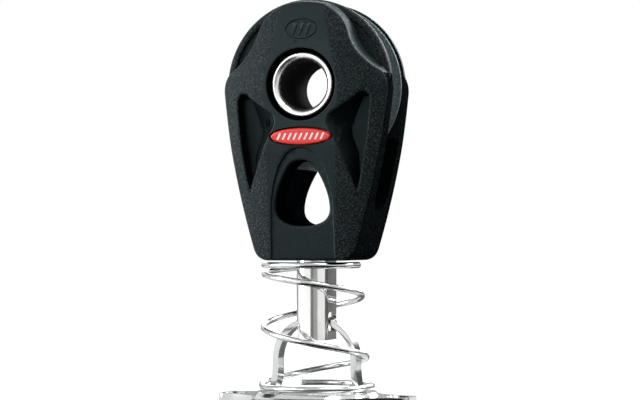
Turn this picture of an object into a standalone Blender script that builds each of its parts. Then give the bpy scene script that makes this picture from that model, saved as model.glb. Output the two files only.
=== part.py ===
"""Stand-up block: a ball-bearing pulley block held upright by a spring on a deck foot.

The foot is a flange with two screw ears and an arched bail. A channel-shaped post hooks
round the bail and carries two moulded cheeks, which are clamped by a flared tube. The
sheave runs between the cheeks on two rows of balls. A conical spring keeps it upright.

X runs along the foot, Y along the sheave's axle with the badge at -Y, and Z up. The origin
is the middle of the foot's underside.
"""

import math

import bmesh
import bpy
from mathutils import Matrix, Vector

MM = 0.001

# Running and seating gap between neighbouring pieces
GAP = 0.3 * MM

# Foot
BASE_THICKNESS = 2.5 * MM
BASE_HALF_LENGTH = 19.3 * MM
EAR_DROP = 0.7 * MM
EAR_HALF_DEPTH = 3.8 * MM
EAR_STRAIGHT = 4.0 * MM
EAR_TAPER = 0.25 * MM
EAR_CORNER = 1.6 * MM
# In degrees from the foot's length
EAR_LEAVES_AT = 28
SPRING_LAND = 1.2 * MM
SCREW_HOLE_DIAMETER = 3.4 * MM
COUNTERSINK_DIAMETER = 4.6 * MM
SCREW_EDGE_DISTANCE = 2.9 * MM

# Bail
BAIL_OUTER_RADIUS = 8.5 * MM
BAIL_THICKNESS = 1.2 * MM
BAIL_DEPTH = 3.3 * MM
BAIL_CENTRE_HEIGHT = 6.0 * MM
BAIL_FOOT_FLARE = 0.8 * MM
BAIL_FLARE_HEIGHT = 4.5 * MM

# Post
POST_WIDTH = 6.2 * MM
POST_NOSE = 2.3 * MM
POST_BACK = 2.6 * MM
POST_SHEET = 1.0 * MM
POST_TOE_HEIGHT = 9.9 * MM
POST_GRIP = 4.6 * MM
POST_EYE_DEPTH = 4.5 * MM
POST_EYE_LOW = 11.6 * MM
POST_EYE_HIGH = 15.2 * MM
POST_EYE_CORNER = 0.9 * MM
PIN_DIAMETER = 1.8 * MM
PIN_LENGTH = 9.6 * MM
PIN_INSET = 2.4 * MM

# Spring
WIRE_DIAMETER = 1.2 * MM
SPRING_TOP_DIAMETER = 19.0 * MM
SPRING_FOOT_DIAMETER = 23.0 * MM
SPRING_TAPER = 1.5
SPRING_TOP_SHIFT = -1.3 * MM
SPRING_START = 0.03
SPRING_END = 3.85
SPRING_LEAVES_TOP = (0.5, 1.6)
SPRING_MEETS_FOOT = (2.9, 3.15)
SPRING_POINTS_PER_TURN = 20

# Sheave and bearing
SHEAVE_DIAMETER = 32.0 * MM
SHEAVE_WIDTH = 7.2 * MM
SHEAVE_RIM = 0.55 * MM
SHEAVE_WALL = 1.0 * MM
BALL_DIAMETER = 3.0 * MM
BALL_PITCH_RADIUS = 8.5 * MM
BALL_ROW_OFFSET = 1.75 * MM
BALLS_PER_ROW = 16
RACE_LIP = 0.9 * MM
ROUND_STEPS = 40
BEARING_STEPS = 32

# Hub tube
HUB_BORE_DIAMETER = 9.3 * MM
HUB_TUBE_WALL = 0.55 * MM
HUB_FLARE_DIAMETER = 12.3 * MM
HUB_FLARE_RISE = 1.2 * MM
HUB_LIP_THICKNESS = 0.55 * MM
HUB_SUNK = 0.85 * MM

# Cheeks, in the plane of the disc
DISC_RADIUS = 16.45 * MM
DISC_RIM = 1.4 * MM
DISC_RIM_RISE = 0.6 * MM
DISC_CHAMFER = 0.6 * MM
DISC_WEB = 0.8 * MM
PANEL_TOP_INSET = 0.7 * MM
PANEL_TOP_HALF = 4.3 * MM
SHOULDER_HALF = 16.6 * MM
SHOULDER_DROP = 1.0 * MM
TAIL_HALF = 10.3 * MM
TAIL_LENGTH = 33.2 * MM
TAIL_CORNER = 2.6 * MM
SIDE_BOW = 0.8 * MM

# Cheeks, through their thickness
CROWN = 9.5 * MM
CROWN_TOP = 7.9 * MM
CROWN_TAIL = 8.0 * MM
CROWN_BEND = 7.8 * MM
CREASE_TOP_HALF = 3.9 * MM
CREASE_HUB_HALF = 7.3 * MM
CREASE_TAIL_HALF = 6.4 * MM
FACET_BEND = 4.5 * MM
FACET_REACH = 12.0 * MM
FACET_SLOPE = 0.21
FACET_EDGE_SLOPE = 0.39
EDGE_ROUND = 0.6 * MM
BLOCK_LIFT = 25.1 * MM
SWALLOW_ROOM = 7.8 * MM

# Window through both cheeks
WINDOW_TOP = 14.3 * MM
WINDOW_FOOT = 26.6 * MM
WINDOW_HALF = 5.35 * MM
WINDOW_HEEL = 3.3 * MM
PANEL_ARCH_TOP = 11.8 * MM
PANEL_ARCH_RISE = 10.1 * MM
PANEL_ARCH_SHOULDER = 4.7 * MM
PANEL_ARCH_LEG = 6.2 * MM
PANEL_ARCH_FOOT = 6.45 * MM
PANEL_SINK = 0.3 * MM

# Pockets beside the hub, cut in the outer face
POCKET_FLOOR = 4.9 * MM
POCKET_EDGE = 3.3 * MM
POCKET_WIDTH = 8.0 * MM
POCKET_TOP_DROP = 1.4 * MM
POCKET_LENGTH = 18.9 * MM
POCKET_CLEAR = 0.08 * MM

# Dowels that line the cheeks up at the tail
DOWEL_DIAMETER = 2.2 * MM
DOWEL_LENGTH = 1.7 * MM
DOWEL_HALF_SPACING = 7.6 * MM
DOWEL_DROP = 26.5 * MM

# Badge
BADGE_LENGTH = 12.0 * MM
BADGE_HEIGHT = 3.1 * MM
BADGE_THICKNESS = 0.8 * MM
BADGE_DROP = 9.8 * MM

# Places worked out from the sizes above
BLOCK_BOTTOM = BASE_THICKNESS + BLOCK_LIFT
HUB_HEIGHT = BLOCK_BOTTOM + TAIL_LENGTH
CHEEK_INNER = SHEAVE_WIDTH / 2 + GAP
BAIL_CENTRE = BASE_THICKNESS + BAIL_CENTRE_HEIGHT
BAIL_MID_RADIUS = BAIL_OUTER_RADIUS - BAIL_THICKNESS / 2
SHEAVE_RADIUS = SHEAVE_DIAMETER / 2
BALL_RADIUS = BALL_DIAMETER / 2
GROOVE_RADIUS = BALL_RADIUS + GAP
HUB_TUBE_RADIUS = HUB_BORE_DIAMETER / 2 + HUB_TUBE_WALL
HUB_FACE = CROWN - HUB_SUNK
LONG = 60 * MM

STAINLESS = ((0.72, 0.72, 0.71), 0.16, 1.0)
SPRING_STEEL = ((0.62, 0.62, 0.61), 0.2, 1.0)
NYLON = ((0.03, 0.034, 0.035), 0.5, 0.0)
SHEAVE_PLASTIC = ((0.05, 0.055, 0.058), 0.42, 0.0)
BALL_PLASTIC = ((0.82, 0.82, 0.78), 0.3, 0.0)
BADGE_RED = ((0.8, 0.03, 0.03), 0.3, 0.0)


def clear_scene():
    for item in list(bpy.data.objects):
        bpy.data.objects.remove(item, do_unlink=True)


def new_collection(name):
    made = bpy.data.collections.new(name)
    bpy.context.scene.collection.children.link(made)
    return made


def finish_piece(piece, look):
    """Names the mesh, gives it its own material and puts it with the parts."""
    colour, roughness, metallic = look
    surface = bpy.data.materials.new(piece.name)
    surface.use_nodes = True
    shader = surface.node_tree.nodes["Principled BSDF"]
    shader.inputs["Base Color"].default_value = (*colour, 1.0)
    shader.inputs["Roughness"].default_value = roughness
    shader.inputs["Metallic"].default_value = metallic
    piece.data.name = piece.name
    piece.data.materials.clear()
    piece.data.materials.append(surface)
    return piece


def as_cutter(piece):
    """Moves a solid from the parts to the cutters."""
    PARTS.objects.unlink(piece)
    CUTTERS.objects.link(piece)
    piece.hide_render = True
    piece.display_type = "WIRE"
    return piece


def combine(piece, other, operation):
    step = piece.modifiers.new(other.name, "BOOLEAN")
    step.operation = operation
    step.solver = "EXACT"
    step.object = other
    return piece


def cut(piece, *cutters):
    for cutter in cutters:
        combine(piece, as_cutter(cutter), "DIFFERENCE")
    return piece


def join(piece, *others):
    for other in others:
        combine(piece, as_cutter(other), "UNION")
    return piece


def arc(centre, radius, start, end, steps):
    """Points on a circle, with angles in degrees from the first axis."""
    turns = [math.radians(start + (end - start) * step / steps) for step in range(steps + 1)]
    return [(centre[0] + radius * math.cos(turn), centre[1] + radius * math.sin(turn)) for turn in turns]


def bend(start, control, end, steps):
    """Points on a curve that leaves start and reaches end along the lines to control."""
    points = []
    for step in range(steps + 1):
        t = step / steps
        points.append(tuple(
            (1 - t) ** 2 * a + 2 * t * (1 - t) * b + t ** 2 * c
            for a, b, c in zip(start, control, end)))
    return points


def bowed(start, end, bow, steps):
    """Points on a shallow arch of height bow over the line from start to end."""
    along = Vector(end) - Vector(start)
    across = Vector((-along.y, along.x)).normalized()
    middle = (Vector(start) + Vector(end)) / 2 + across * 2 * bow
    return bend(start, middle, end, steps)


def both_sides(half):
    """Closes an outline from its right half, listed from the top to the bottom."""
    mirrored = [(-x, z) for x, z in reversed(half) if abs(x) > 1e-7]
    return half + mirrored


def flat_solid(name, outlines, low, high, turn=None):
    """A flat outline filled and extruded between two levels, made a welded mesh.

    turn takes the outline's own axes to the world: see FACING_FRONT and FACING_UP.
    """
    curve = bpy.data.curves.new(name, "CURVE")
    curve.dimensions = "2D"
    curve.fill_mode = "BOTH"
    curve.extrude = (high - low) / 2
    for outline in outlines:
        spline = curve.splines.new("POLY")
        spline.points.add(len(outline) - 1)
        for point, (u, v) in zip(spline.points, outline):
            point.co = (u, v, 0, 1)
        spline.use_cyclic_u = True
    guide = bpy.data.objects.new(name, curve)
    PARTS.objects.link(guide)
    guide.matrix_world = (turn or FACING_UP) @ Matrix.Translation((0, 0, (low + high) / 2))
    return meshed(guide)


def meshed(guide):
    """Turns a curve object into a welded mesh object with the same name and place."""
    bpy.context.view_layer.update()
    evaluated = guide.evaluated_get(bpy.context.evaluated_depsgraph_get())
    mesh = bpy.data.meshes.new_from_object(evaluated)
    form = bmesh.new()
    form.from_mesh(mesh)
    bmesh.ops.remove_doubles(form, verts=form.verts, dist=0.00001)
    bmesh.ops.recalc_face_normals(form, faces=form.faces)
    form.to_mesh(mesh)
    form.free()
    name = guide.name
    place = guide.matrix_world.copy()
    bpy.data.objects.remove(guide, do_unlink=True)
    piece = bpy.data.objects.new(name, mesh)
    piece.matrix_world = place
    PARTS.objects.link(piece)
    return piece


def round_bar(name, radius, low, high, turn=None, steps=ROUND_STEPS):
    """A cylinder between two levels on the third axis of turn."""
    form = bmesh.new()
    bmesh.ops.create_cone(
        form, cap_ends=True, segments=steps, radius1=radius, radius2=radius, depth=high - low,
        matrix=Matrix.Translation((0, 0, (low + high) / 2)))
    return solid_from(form, name, turn)


def box(name, low, high, turn=None):
    form = bmesh.new()
    bmesh.ops.create_cube(form, size=1.0)
    size = Vector(high) - Vector(low)
    middle = (Vector(high) + Vector(low)) / 2
    bmesh.ops.scale(form, vec=size, verts=form.verts)
    bmesh.ops.translate(form, vec=middle, verts=form.verts)
    return solid_from(form, name, turn)


def loft(name, rings, turn=None):
    """A closed skin through rings of 3-D points that all have the same count."""
    form = bmesh.new()
    rows = [[form.verts.new(point) for point in ring] for ring in rings]
    count = len(rows[0])
    for near, far in zip(rows, rows[1:]):
        for i in range(count):
            j = (i + 1) % count
            form.faces.new((near[i], near[j], far[j], far[i]))
    form.faces.new(rows[0])
    form.faces.new(rows[-1])
    bmesh.ops.recalc_face_normals(form, faces=form.faces)
    return solid_from(form, name, turn)


def solid_from(form, name, turn):
    mesh = bpy.data.meshes.new(name)
    form.to_mesh(mesh)
    form.free()
    piece = bpy.data.objects.new(name, mesh)
    piece.matrix_world = turn or Matrix.Identity(4)
    PARTS.objects.link(piece)
    return piece


def turned(name, profile, place, steps=ROUND_STEPS):
    """A solid turned about place's third axis from a profile of (radius, depth) points.

    The profile runs down its outer side first. It closes into a ring's section, unless its
    ends lie on the axis.
    """
    form = bmesh.new()
    corners = [form.verts.new((radius, 0, depth)) for radius, depth in profile]
    on_axis = profile[0][0] == 0
    for near, far in zip(corners, corners[1:] if on_axis else corners[1:] + corners[:1]):
        form.edges.new((near, far))
    piece = solid_from(form, name, place)
    screw = piece.modifiers.new("Turn", "SCREW")
    screw.axis = "Z"
    screw.steps = steps
    screw.render_steps = steps
    screw.use_merge_vertices = True
    screw.merge_threshold = 0.00001
    return piece


# The outline's third axis points to the front, out of the block's face
FACING_FRONT = Matrix(((1, 0, 0, 0), (0, 0, -1, 0), (0, 1, 0, 0), (0, 0, 0, 1)))
# The outline's third axis points to the rear, and its first to the left
FACING_REAR = Matrix(((-1, 0, 0, 0), (0, 0, 1, 0), (0, 1, 0, 0), (0, 0, 0, 1)))
FACING_UP = Matrix.Identity(4)
# The outline's third axis points to the right, its first to the rear
FACING_RIGHT = Matrix(((0, 0, 1, 0), (1, 0, 0, 0), (0, 1, 0, 0), (0, 0, 0, 1)))


def at_hub(turn):
    return Matrix.Translation((0, 0, HUB_HEIGHT)) @ turn


# Cheeks

def side_curve():
    """The cheek's right edge from the shoulder down to the flat of the tail."""
    shoulder = (SHOULDER_HALF, -SHOULDER_DROP)
    tail = (TAIL_HALF, TAIL_CORNER * 0.85 - TAIL_LENGTH)
    corner = (TAIL_HALF - 0.3 * TAIL_CORNER, -TAIL_LENGTH)
    flat = (TAIL_HALF - 1.2 * TAIL_CORNER, -TAIL_LENGTH)
    return bowed(tail, shoulder, -SIDE_BOW, 8)[::-1] + bend(tail, corner, flat, 4)[1:]


def panel_outline():
    """The raised panel: an arch-sided neck on the disc that spreads into the tail."""
    top_radius = DISC_RADIUS - PANEL_TOP_INSET
    top_z = math.sqrt(top_radius ** 2 - PANEL_TOP_HALF ** 2)
    top_angle = math.degrees(math.asin(PANEL_TOP_HALF / top_radius))
    top = arc((0, 0), top_radius, 90, 90 - top_angle, 4)
    neck = (0.55 * SHOULDER_HALF, 0.64 * top_z)
    hip = (0.9 * SHOULDER_HALF, 0.18 * top_z)
    upper = bend((PANEL_TOP_HALF, top_z), (0.5 * SHOULDER_HALF, 0.87 * top_z), neck, 5)
    lower = bend(neck, (0.62 * SHOULDER_HALF, 0.37 * top_z), hip, 5)
    shoulder = bend(hip, (SHOULDER_HALF, 0.11 * top_z), (SHOULDER_HALF, -SHOULDER_DROP), 4)
    return both_sides(top + upper[1:] + lower[1:] + shoulder[1:] + side_curve()[1:])


def crease_half(z):
    """Half-width of the flat crown at a height above the hub, widest beside the hub."""
    if z > 0:
        return CREASE_HUB_HALF + (CREASE_TOP_HALF - CREASE_HUB_HALF) * z / DISC_RADIUS
    return CREASE_HUB_HALF + (CREASE_TAIL_HALF - CREASE_HUB_HALF) * -z / TAIL_LENGTH


def facet_fall(beyond):
    """How far the side facet lies below the crown at a distance beyond the crease."""
    near = min(max(beyond, 0), FACET_BEND)
    return FACET_SLOPE * near + FACET_EDGE_SLOPE * max(beyond - FACET_BEND, 0)


def roof_section(z, crown):
    """The envelope across the cheek: flat crown, then a facet in two slopes on each side."""
    reaches = (0, FACET_BEND, FACET_REACH)
    right = [(crease_half(z) + reach, z, crown - facet_fall(reach)) for reach in reaches]
    foot = (right[-1][0], z, -CROWN)
    half = [foot] + right[::-1]
    return half + [(-x, z, depth) for x, z, depth in reversed(half)]


def crown_at_tail(z):
    """Depth of the crown below the badge, where it slopes back to the tail."""
    share = (-z - PANEL_ARCH_TOP) / (TAIL_LENGTH - PANEL_ARCH_TOP)
    return CROWN + (CROWN_TAIL - CROWN) * share


def facet_roof(name, turn):
    """The envelope of the cheek's outer face: a flat crown with a sloping facet each side."""
    over_top = DISC_RADIUS + 1 * MM
    top_slope = (CROWN - CROWN_TOP) / (DISC_RADIUS - CROWN_BEND)
    below = -TAIL_LENGTH - 1 * MM
    stations = [
        (over_top, CROWN_TOP - top_slope * (over_top - DISC_RADIUS)),
        (CROWN_BEND, CROWN),
        (0, CROWN),
        (-PANEL_ARCH_TOP, CROWN),
        (below, crown_at_tail(below))]
    return loft(name, [roof_section(z, crown) for z, crown in stations], turn)


def window_outline():
    """An egg with a narrow round top and a flat round foot."""
    widest = WINDOW_FOOT - WINDOW_HEEL
    height = widest - WINDOW_TOP
    shoulder = (0.54 * WINDOW_HALF, -WINDOW_TOP - 0.19 * height)
    top = bend((0, -WINDOW_TOP), (0.36 * WINDOW_HALF, -WINDOW_TOP), shoulder, 4)
    side = bend(shoulder, (WINDOW_HALF, -WINDOW_TOP - 0.65 * height), (WINDOW_HALF, -widest), 5)
    heel = bend((WINDOW_HALF, -widest), (WINDOW_HALF, -WINDOW_FOOT), (0, -WINDOW_FOOT), 6)
    return both_sides(top + side[1:] + heel[1:])


def arch_outline():
    """The flat panel round the window: an arch on legs beside the crease."""
    spring_z = -PANEL_ARCH_TOP - PANEL_ARCH_RISE
    top = (0, -PANEL_ARCH_TOP)
    control = (PANEL_ARCH_SHOULDER, -PANEL_ARCH_TOP)
    foot_z = -TAIL_LENGTH - EDGE_ROUND
    arch = bend(top, control, (PANEL_ARCH_LEG, spring_z), 7)
    return both_sides(arch + [(PANEL_ARCH_FOOT, foot_z), (0, foot_z)])


def facet_depth(x, z):
    """Depth of the outer face beside the hub, on the crown or the side facet."""
    return CROWN - facet_fall(x - crease_half(z))


# Corners of a pocket's brim and floor, clockwise from the top left of the right-hand one, as
# shares of the pocket's width inward from its outer edge and of its length down from its top
POCKET_BRIM = (
    (0.36, 0.05), (0.26, 0.00), (0.10, 0.00), (0.00, 0.06), (0.08, 0.43), (0.24, 0.85),
    (0.33, 1.00), (0.45, 0.85), (0.71, 0.55), (1.00, 0.31), (0.96, 0.23), (0.63, 0.13))
POCKET_BED = (
    (0.30, 0.10), (0.25, 0.07), (0.13, 0.07), (0.06, 0.11), (0.13, 0.43), (0.27, 0.80),
    (0.35, 0.90), (0.34, 0.78), (0.34, 0.62), (0.50, 0.44), (0.52, 0.36), (0.41, 0.22))


def pocket_corners(shares):
    far = SHOULDER_HALF - POCKET_EDGE
    return [
        (far - inward * POCKET_WIDTH, -POCKET_TOP_DROP - down * POCKET_LENGTH)
        for inward, down in shares]


def pocket_rings(hand):
    """The pocket's straight mouth, its brim just proud of the facet, and its floor.

    The outer wall is steep. Under the hub the inner side rises as two slopes that meet in a
    valley, and the pocket runs out in a point along the tail.
    """
    brim = pocket_corners(POCKET_BRIM)
    return [
        [(hand * x, z, 2 * CROWN) for x, z in brim],
        [(hand * x, z, facet_depth(x, z) + POCKET_CLEAR) for x, z in brim],
        [(hand * x, z, POCKET_FLOOR) for x, z in pocket_corners(POCKET_BED)]]


def disc_dish(name, turn):
    """The round cheek plate with a raised and chamfered rim, under the raised panel."""
    web = CHEEK_INNER + DISC_WEB
    rim = web + DISC_RIM_RISE
    inner = DISC_RADIUS - DISC_RIM
    profile = [
        (0, web), (inner, web), (inner, rim), (DISC_RADIUS - DISC_CHAMFER, rim),
        (DISC_RADIUS, rim - DISC_CHAMFER), (DISC_RADIUS, CHEEK_INNER), (0, CHEEK_INNER)]
    return turned(name, profile, turn, 2 * ROUND_STEPS)


def post_pocket_outline():
    """Plan of the pocket for the post, rounded at the front like the post itself."""
    half = POST_WIDTH / 2 + GAP
    back = POST_BACK + GAP
    return [(half, back)] + arc((0, -POST_NOSE), half, 0, -180, 12) + [(-half, back)]


def make_cheek(name, facing, looks_front):
    """One moulded cheek: disc, raised panel, window, pockets and the solid tail."""
    turn = at_hub(facing)
    cheek = flat_solid(name, [panel_outline()], -CHEEK_INNER, CROWN + 1 * MM, turn)
    combine(cheek, as_cutter(facet_roof(name + "_roof", turn)), "INTERSECT")
    rounding = cheek.modifiers.new("Edges", "BEVEL")
    rounding.width = EDGE_ROUND
    rounding.segments = 2
    rounding.limit_method = "ANGLE"
    rounding.angle_limit = math.radians(50)
    join(cheek, disc_dish(name + "_disc", turn))

    swallow_floor = -SHEAVE_RADIUS - SWALLOW_ROOM
    swallow_axis = swallow_floor + CHEEK_INNER
    swallow_turn = Matrix.Translation((0, 0, HUB_HEIGHT + swallow_axis)) @ FACING_RIGHT
    tube_hole = HUB_TUBE_RADIUS + GAP
    recess = HUB_FLARE_DIAMETER / 2 + 0.7 * MM
    recess_floor = HUB_FACE - HUB_FLARE_RISE
    far = 2 * CROWN
    slope_turn = turn @ panel_tilt()
    cut(
        cheek,
        box(name + "_back", (-LONG, -LONG, -far), (LONG, LONG, GAP / 2), turn),
        box(name + "_sheave_room", (-LONG, swallow_axis, -far), (LONG, LONG, CHEEK_INNER), turn),
        round_bar(name + "_swallow", CHEEK_INNER, -LONG, LONG, swallow_turn, 24),
        round_bar(name + "_tube_hole", tube_hole, -far, far, turn),
        round_bar(name + "_hub_recess", recess, recess_floor, far, turn),
        flat_solid(name + "_panel", [arch_outline()], -PANEL_SINK, CROWN, slope_turn),
        flat_solid(name + "_window", [window_outline()], -far, far, turn),
        loft(name + "_pocket_right", pocket_rings(1), turn),
        loft(name + "_pocket_left", pocket_rings(-1), turn),
        post_pocket(name + "_post_pocket"),
        pin_pocket(name + "_pin_pocket"))
    add_dowels(cheek, turn, looks_front)
    if looks_front:
        cut(cheek, badge_seat(name + "_badge_seat", turn))
    return finish_piece(cheek, NYLON)


def panel_tilt():
    """Lays the outline's plane on the sloping crown, with its third axis along the normal."""
    slope = (CROWN - CROWN_TAIL) / (TAIL_LENGTH - PANEL_ARCH_TOP)
    pivot = Vector((0, -PANEL_ARCH_TOP, CROWN))
    return (
        Matrix.Translation(pivot) @ Matrix.Rotation(math.atan(slope), 4, "X")
        @ Matrix.Translation((0, PANEL_ARCH_TOP, 0)))


def post_pocket(name):
    """Room for the post's upper end, open at the bottom of the tail."""
    low = BLOCK_BOTTOM - 1 * MM
    high = BLOCK_BOTTOM + POST_GRIP + GAP
    return flat_solid(name, [post_pocket_outline()], low, high)


def pin_turn():
    return Matrix.Translation((0, 0, BLOCK_BOTTOM + PIN_INSET)) @ FACING_RIGHT


def pin_pocket(name):
    reach = PIN_LENGTH / 2 + GAP
    return round_bar(name, PIN_DIAMETER / 2 + GAP, -reach, reach, pin_turn(), 24)


def add_dowels(cheek, turn, looks_front):
    """Pegs on the front cheek's joint face, and their sockets in the rear one."""
    for side in (-1, 1):
        place = turn @ Matrix.Translation((side * DOWEL_HALF_SPACING, -DOWEL_DROP, 0))
        label = f"{cheek.name}_dowel_{'left' if side < 0 else 'right'}"
        if looks_front:
            join(cheek, round_bar(label, DOWEL_DIAMETER / 2, -DOWEL_LENGTH, 2 * GAP, place, 16))
        else:
            depth = DOWEL_LENGTH + GAP
            cut(cheek, round_bar(label, DOWEL_DIAMETER / 2 + GAP, -GAP, depth, place, 16))


# Badge

def oval(length, height, steps):
    turns = [2 * math.pi * step / steps for step in range(steps)]
    return [(length / 2 * math.cos(t), -BADGE_DROP + height / 2 * math.sin(t)) for t in turns]


def badge_seat(name, turn):
    outline = oval(BADGE_LENGTH + 2 * GAP, BADGE_HEIGHT + 2 * GAP, 32)
    return flat_solid(name, [outline], CROWN - BADGE_THICKNESS - GAP, CROWN + 1 * MM, turn)


def make_badge():
    outline = oval(BADGE_LENGTH, BADGE_HEIGHT, 32)
    badge = flat_solid("badge", [outline], CROWN - BADGE_THICKNESS, CROWN, at_hub(FACING_FRONT))
    return finish_piece(badge, BADGE_RED)


# Hub tube, bearing and sheave

def make_hub_tube():
    """The tube that clamps the cheeks, with its ends rolled outward."""
    bore = HUB_BORE_DIAMETER / 2
    flare = HUB_FLARE_DIAMETER / 2
    neck = HUB_FACE - HUB_FLARE_RISE
    inside = bend((bore, neck), (bore + 0.2 * MM, HUB_FACE), (flare - 0.5 * MM, HUB_FACE), 5)
    lip = HUB_FACE - HUB_LIP_THICKNESS
    outside = bend((HUB_TUBE_RADIUS, neck), (HUB_TUBE_RADIUS, lip), (flare, lip), 3)
    rear_half = inside + [(flare, HUB_FACE - 0.2 * MM)] + outside[::-1]
    front_half = [(radius, -depth) for radius, depth in rear_half[::-1]]
    tube = turned("hub_tube", rear_half + front_half, at_hub(FACING_REAR), BEARING_STEPS)
    return finish_piece(tube, STAINLESS)


def ball_groove(radius_sign, land, steps):
    """Both ball grooves in a race, from the rear to the front, down to the land between them."""
    half_angle = math.degrees(math.acos((land - BALL_PITCH_RADIUS) * radius_sign / GROOVE_RADIUS))
    points = []
    for row in (BALL_ROW_OFFSET, -BALL_ROW_OFFSET):
        for step in range(steps + 1):
            angle = math.radians(half_angle - 2 * half_angle * step / steps)
            radius = BALL_PITCH_RADIUS + radius_sign * GROOVE_RADIUS * math.cos(angle)
            points.append((radius, row + GROOVE_RADIUS * math.sin(angle)))
    return points


def make_inner_race():
    """The fixed race on the tube, grooved outside for both rows of balls."""
    land = BALL_PITCH_RADIUS - RACE_LIP
    bore = HUB_TUBE_RADIUS + GAP
    half = SHEAVE_WIDTH / 2
    outer = [(land, half)] + ball_groove(-1, land, 5) + [(land, -half)]
    profile = outer + [(bore, -half), (bore, half)]
    race = turned("inner_race", profile, at_hub(FACING_REAR), BEARING_STEPS)
    return finish_piece(race, SHEAVE_PLASTIC)


def make_sheave():
    """The grooved wheel, with the balls' outer tracks in its bore."""
    half = SHEAVE_WIDTH / 2
    land = BALL_PITCH_RADIUS + RACE_LIP
    floor = BALL_PITCH_RADIUS + GROOVE_RADIUS + SHEAVE_WALL
    lip = half - SHEAVE_RIM
    depth = SHEAVE_RADIUS - floor
    sweep = (lip ** 2 + depth ** 2) / (2 * depth)
    centre = floor + sweep
    half_angle = math.degrees(math.atan2(lip, centre - SHEAVE_RADIUS))
    groove = [
        (centre - sweep * math.cos(math.radians(a)), sweep * math.sin(math.radians(a)))
        for a in [half_angle - half_angle * step / 5 for step in range(11)]]
    outer = [(SHEAVE_RADIUS, half)] + groove + [(SHEAVE_RADIUS, -half)]
    inner = [(land, -half)] + ball_groove(1, land, 5)[::-1] + [(land, half)]
    sheave = turned("sheave", outer + inner, at_hub(FACING_REAR))
    return finish_piece(sheave, SHEAVE_PLASTIC)


def make_balls():
    """Two rows of balls round the race, each ball a piece of its own."""
    for row, offset in (("front", -BALL_ROW_OFFSET), ("rear", BALL_ROW_OFFSET)):
        for number in range(BALLS_PER_ROW):
            turn = 2 * math.pi * number / BALLS_PER_ROW
            form = bmesh.new()
            bmesh.ops.create_icosphere(form, subdivisions=2, radius=BALL_RADIUS)
            place = Matrix.Translation((
                BALL_PITCH_RADIUS * math.sin(turn), offset,
                HUB_HEIGHT + BALL_PITCH_RADIUS * math.cos(turn)))
            ball = solid_from(form, f"ball_{row}_{number + 1:02d}", place)
            finish_piece(ball, BALL_PLASTIC)


# Post and its pin

def post_outline():
    """Plan of the folded channel: round nose, straight legs, open at the back."""
    outer = POST_WIDTH / 2
    inner = outer - POST_SHEET
    nose = (0, -POST_NOSE)
    return (
        [(outer, POST_BACK)] + arc(nose, outer, 0, -180, 16) + [(-outer, POST_BACK)]
        + [(-inner, POST_BACK)] + arc(nose, inner, -180, 0, 12) + [(inner, POST_BACK)])


def eye_outline():
    """The eye in the post's legs: a rounded slot, as (rear, up) points."""
    half = POST_EYE_DEPTH / 2 - POST_EYE_CORNER
    low = BASE_THICKNESS + POST_EYE_LOW + POST_EYE_CORNER
    high = BASE_THICKNESS + POST_EYE_HIGH - POST_EYE_CORNER
    return (
        arc((half, high), POST_EYE_CORNER, 0, 90, 3) + arc((-half, high), POST_EYE_CORNER, 90, 180, 3)
        + arc((-half, low), POST_EYE_CORNER, 180, 270, 3) + arc((half, low), POST_EYE_CORNER, 270, 360, 3))


def make_post():
    """The channel that hooks round the bail and holds the block."""
    low = BASE_THICKNESS + POST_TOE_HEIGHT
    post = flat_solid("post", [post_outline()], low, BLOCK_BOTTOM + POST_GRIP)
    eye = flat_solid("post_eye", [eye_outline()], -POST_WIDTH, POST_WIDTH, FACING_RIGHT)
    pin_hole = round_bar(
        "post_pin_hole", PIN_DIAMETER / 2 + GAP, -POST_WIDTH, POST_WIDTH, pin_turn(), 24)
    cut(post, eye, pin_hole)
    return finish_piece(post, STAINLESS)


def make_post_pin():
    half = PIN_LENGTH / 2
    pin = round_bar("post_pin", PIN_DIAMETER / 2, -half, half, pin_turn(), 24)
    return finish_piece(pin, STAINLESS)


# Foot

def bail_outline():
    """The bail seen from the front: an arch of strip whose feet spread and pass the plate."""
    outer = BAIL_OUTER_RADIUS
    inner = outer - BAIL_THICKNESS
    foot = outer + BAIL_FOOT_FLARE
    toe = 0.5 * MM
    hip = BASE_THICKNESS + BAIL_FLARE_HEIGHT
    seat = BASE_THICKNESS
    spread = bend((outer, hip), (outer, (hip + seat) / 2), (foot, seat), 4)
    tuck = bend((foot - BAIL_THICKNESS, seat), (inner, (hip + seat) / 2), (inner, hip), 4)
    right_half = (
        arc((0, BAIL_CENTRE), outer, 90, 0, 14) + spread
        + [(foot, toe), (foot - BAIL_THICKNESS, toe)] + tuck)
    under = arc((0, BAIL_CENTRE), inner, 0, 180, 24)
    left_half = [(-x, z) for x, z in reversed(right_half)][:-1]
    return right_half + under + left_half


def make_bail():
    bail = flat_solid(
        "bail", [bail_outline()], -BAIL_DEPTH / 2, BAIL_DEPTH / 2, FACING_FRONT)
    return finish_piece(bail, STAINLESS)


def spring_land_radius():
    """Radius of the raised land that the spring stands on."""
    return SPRING_FOOT_DIAMETER / 2 + SPRING_LAND


def base_outline():
    """Plan of the foot: a round land for the spring between two squared ears."""
    land = spring_land_radius()
    ear_start = BASE_HALF_LENGTH - EAR_STRAIGHT
    round_right = arc((0, 0), land, 90, EAR_LEAVES_AT, 8)
    end_half = EAR_HALF_DEPTH - EAR_TAPER
    edge = (BASE_HALF_LENGTH, end_half)
    inset_x = BASE_HALF_LENGTH - EAR_CORNER
    corner = bend((inset_x, end_half), edge, (BASE_HALF_LENGTH, end_half - EAR_CORNER), 4)
    quarter = round_right + [(ear_start, EAR_HALF_DEPTH)] + corner
    right = quarter + [(x, -y) for x, y in reversed(quarter)]
    left = [(-x, -y) for x, y in right[1:-1]]
    return right + left


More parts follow.
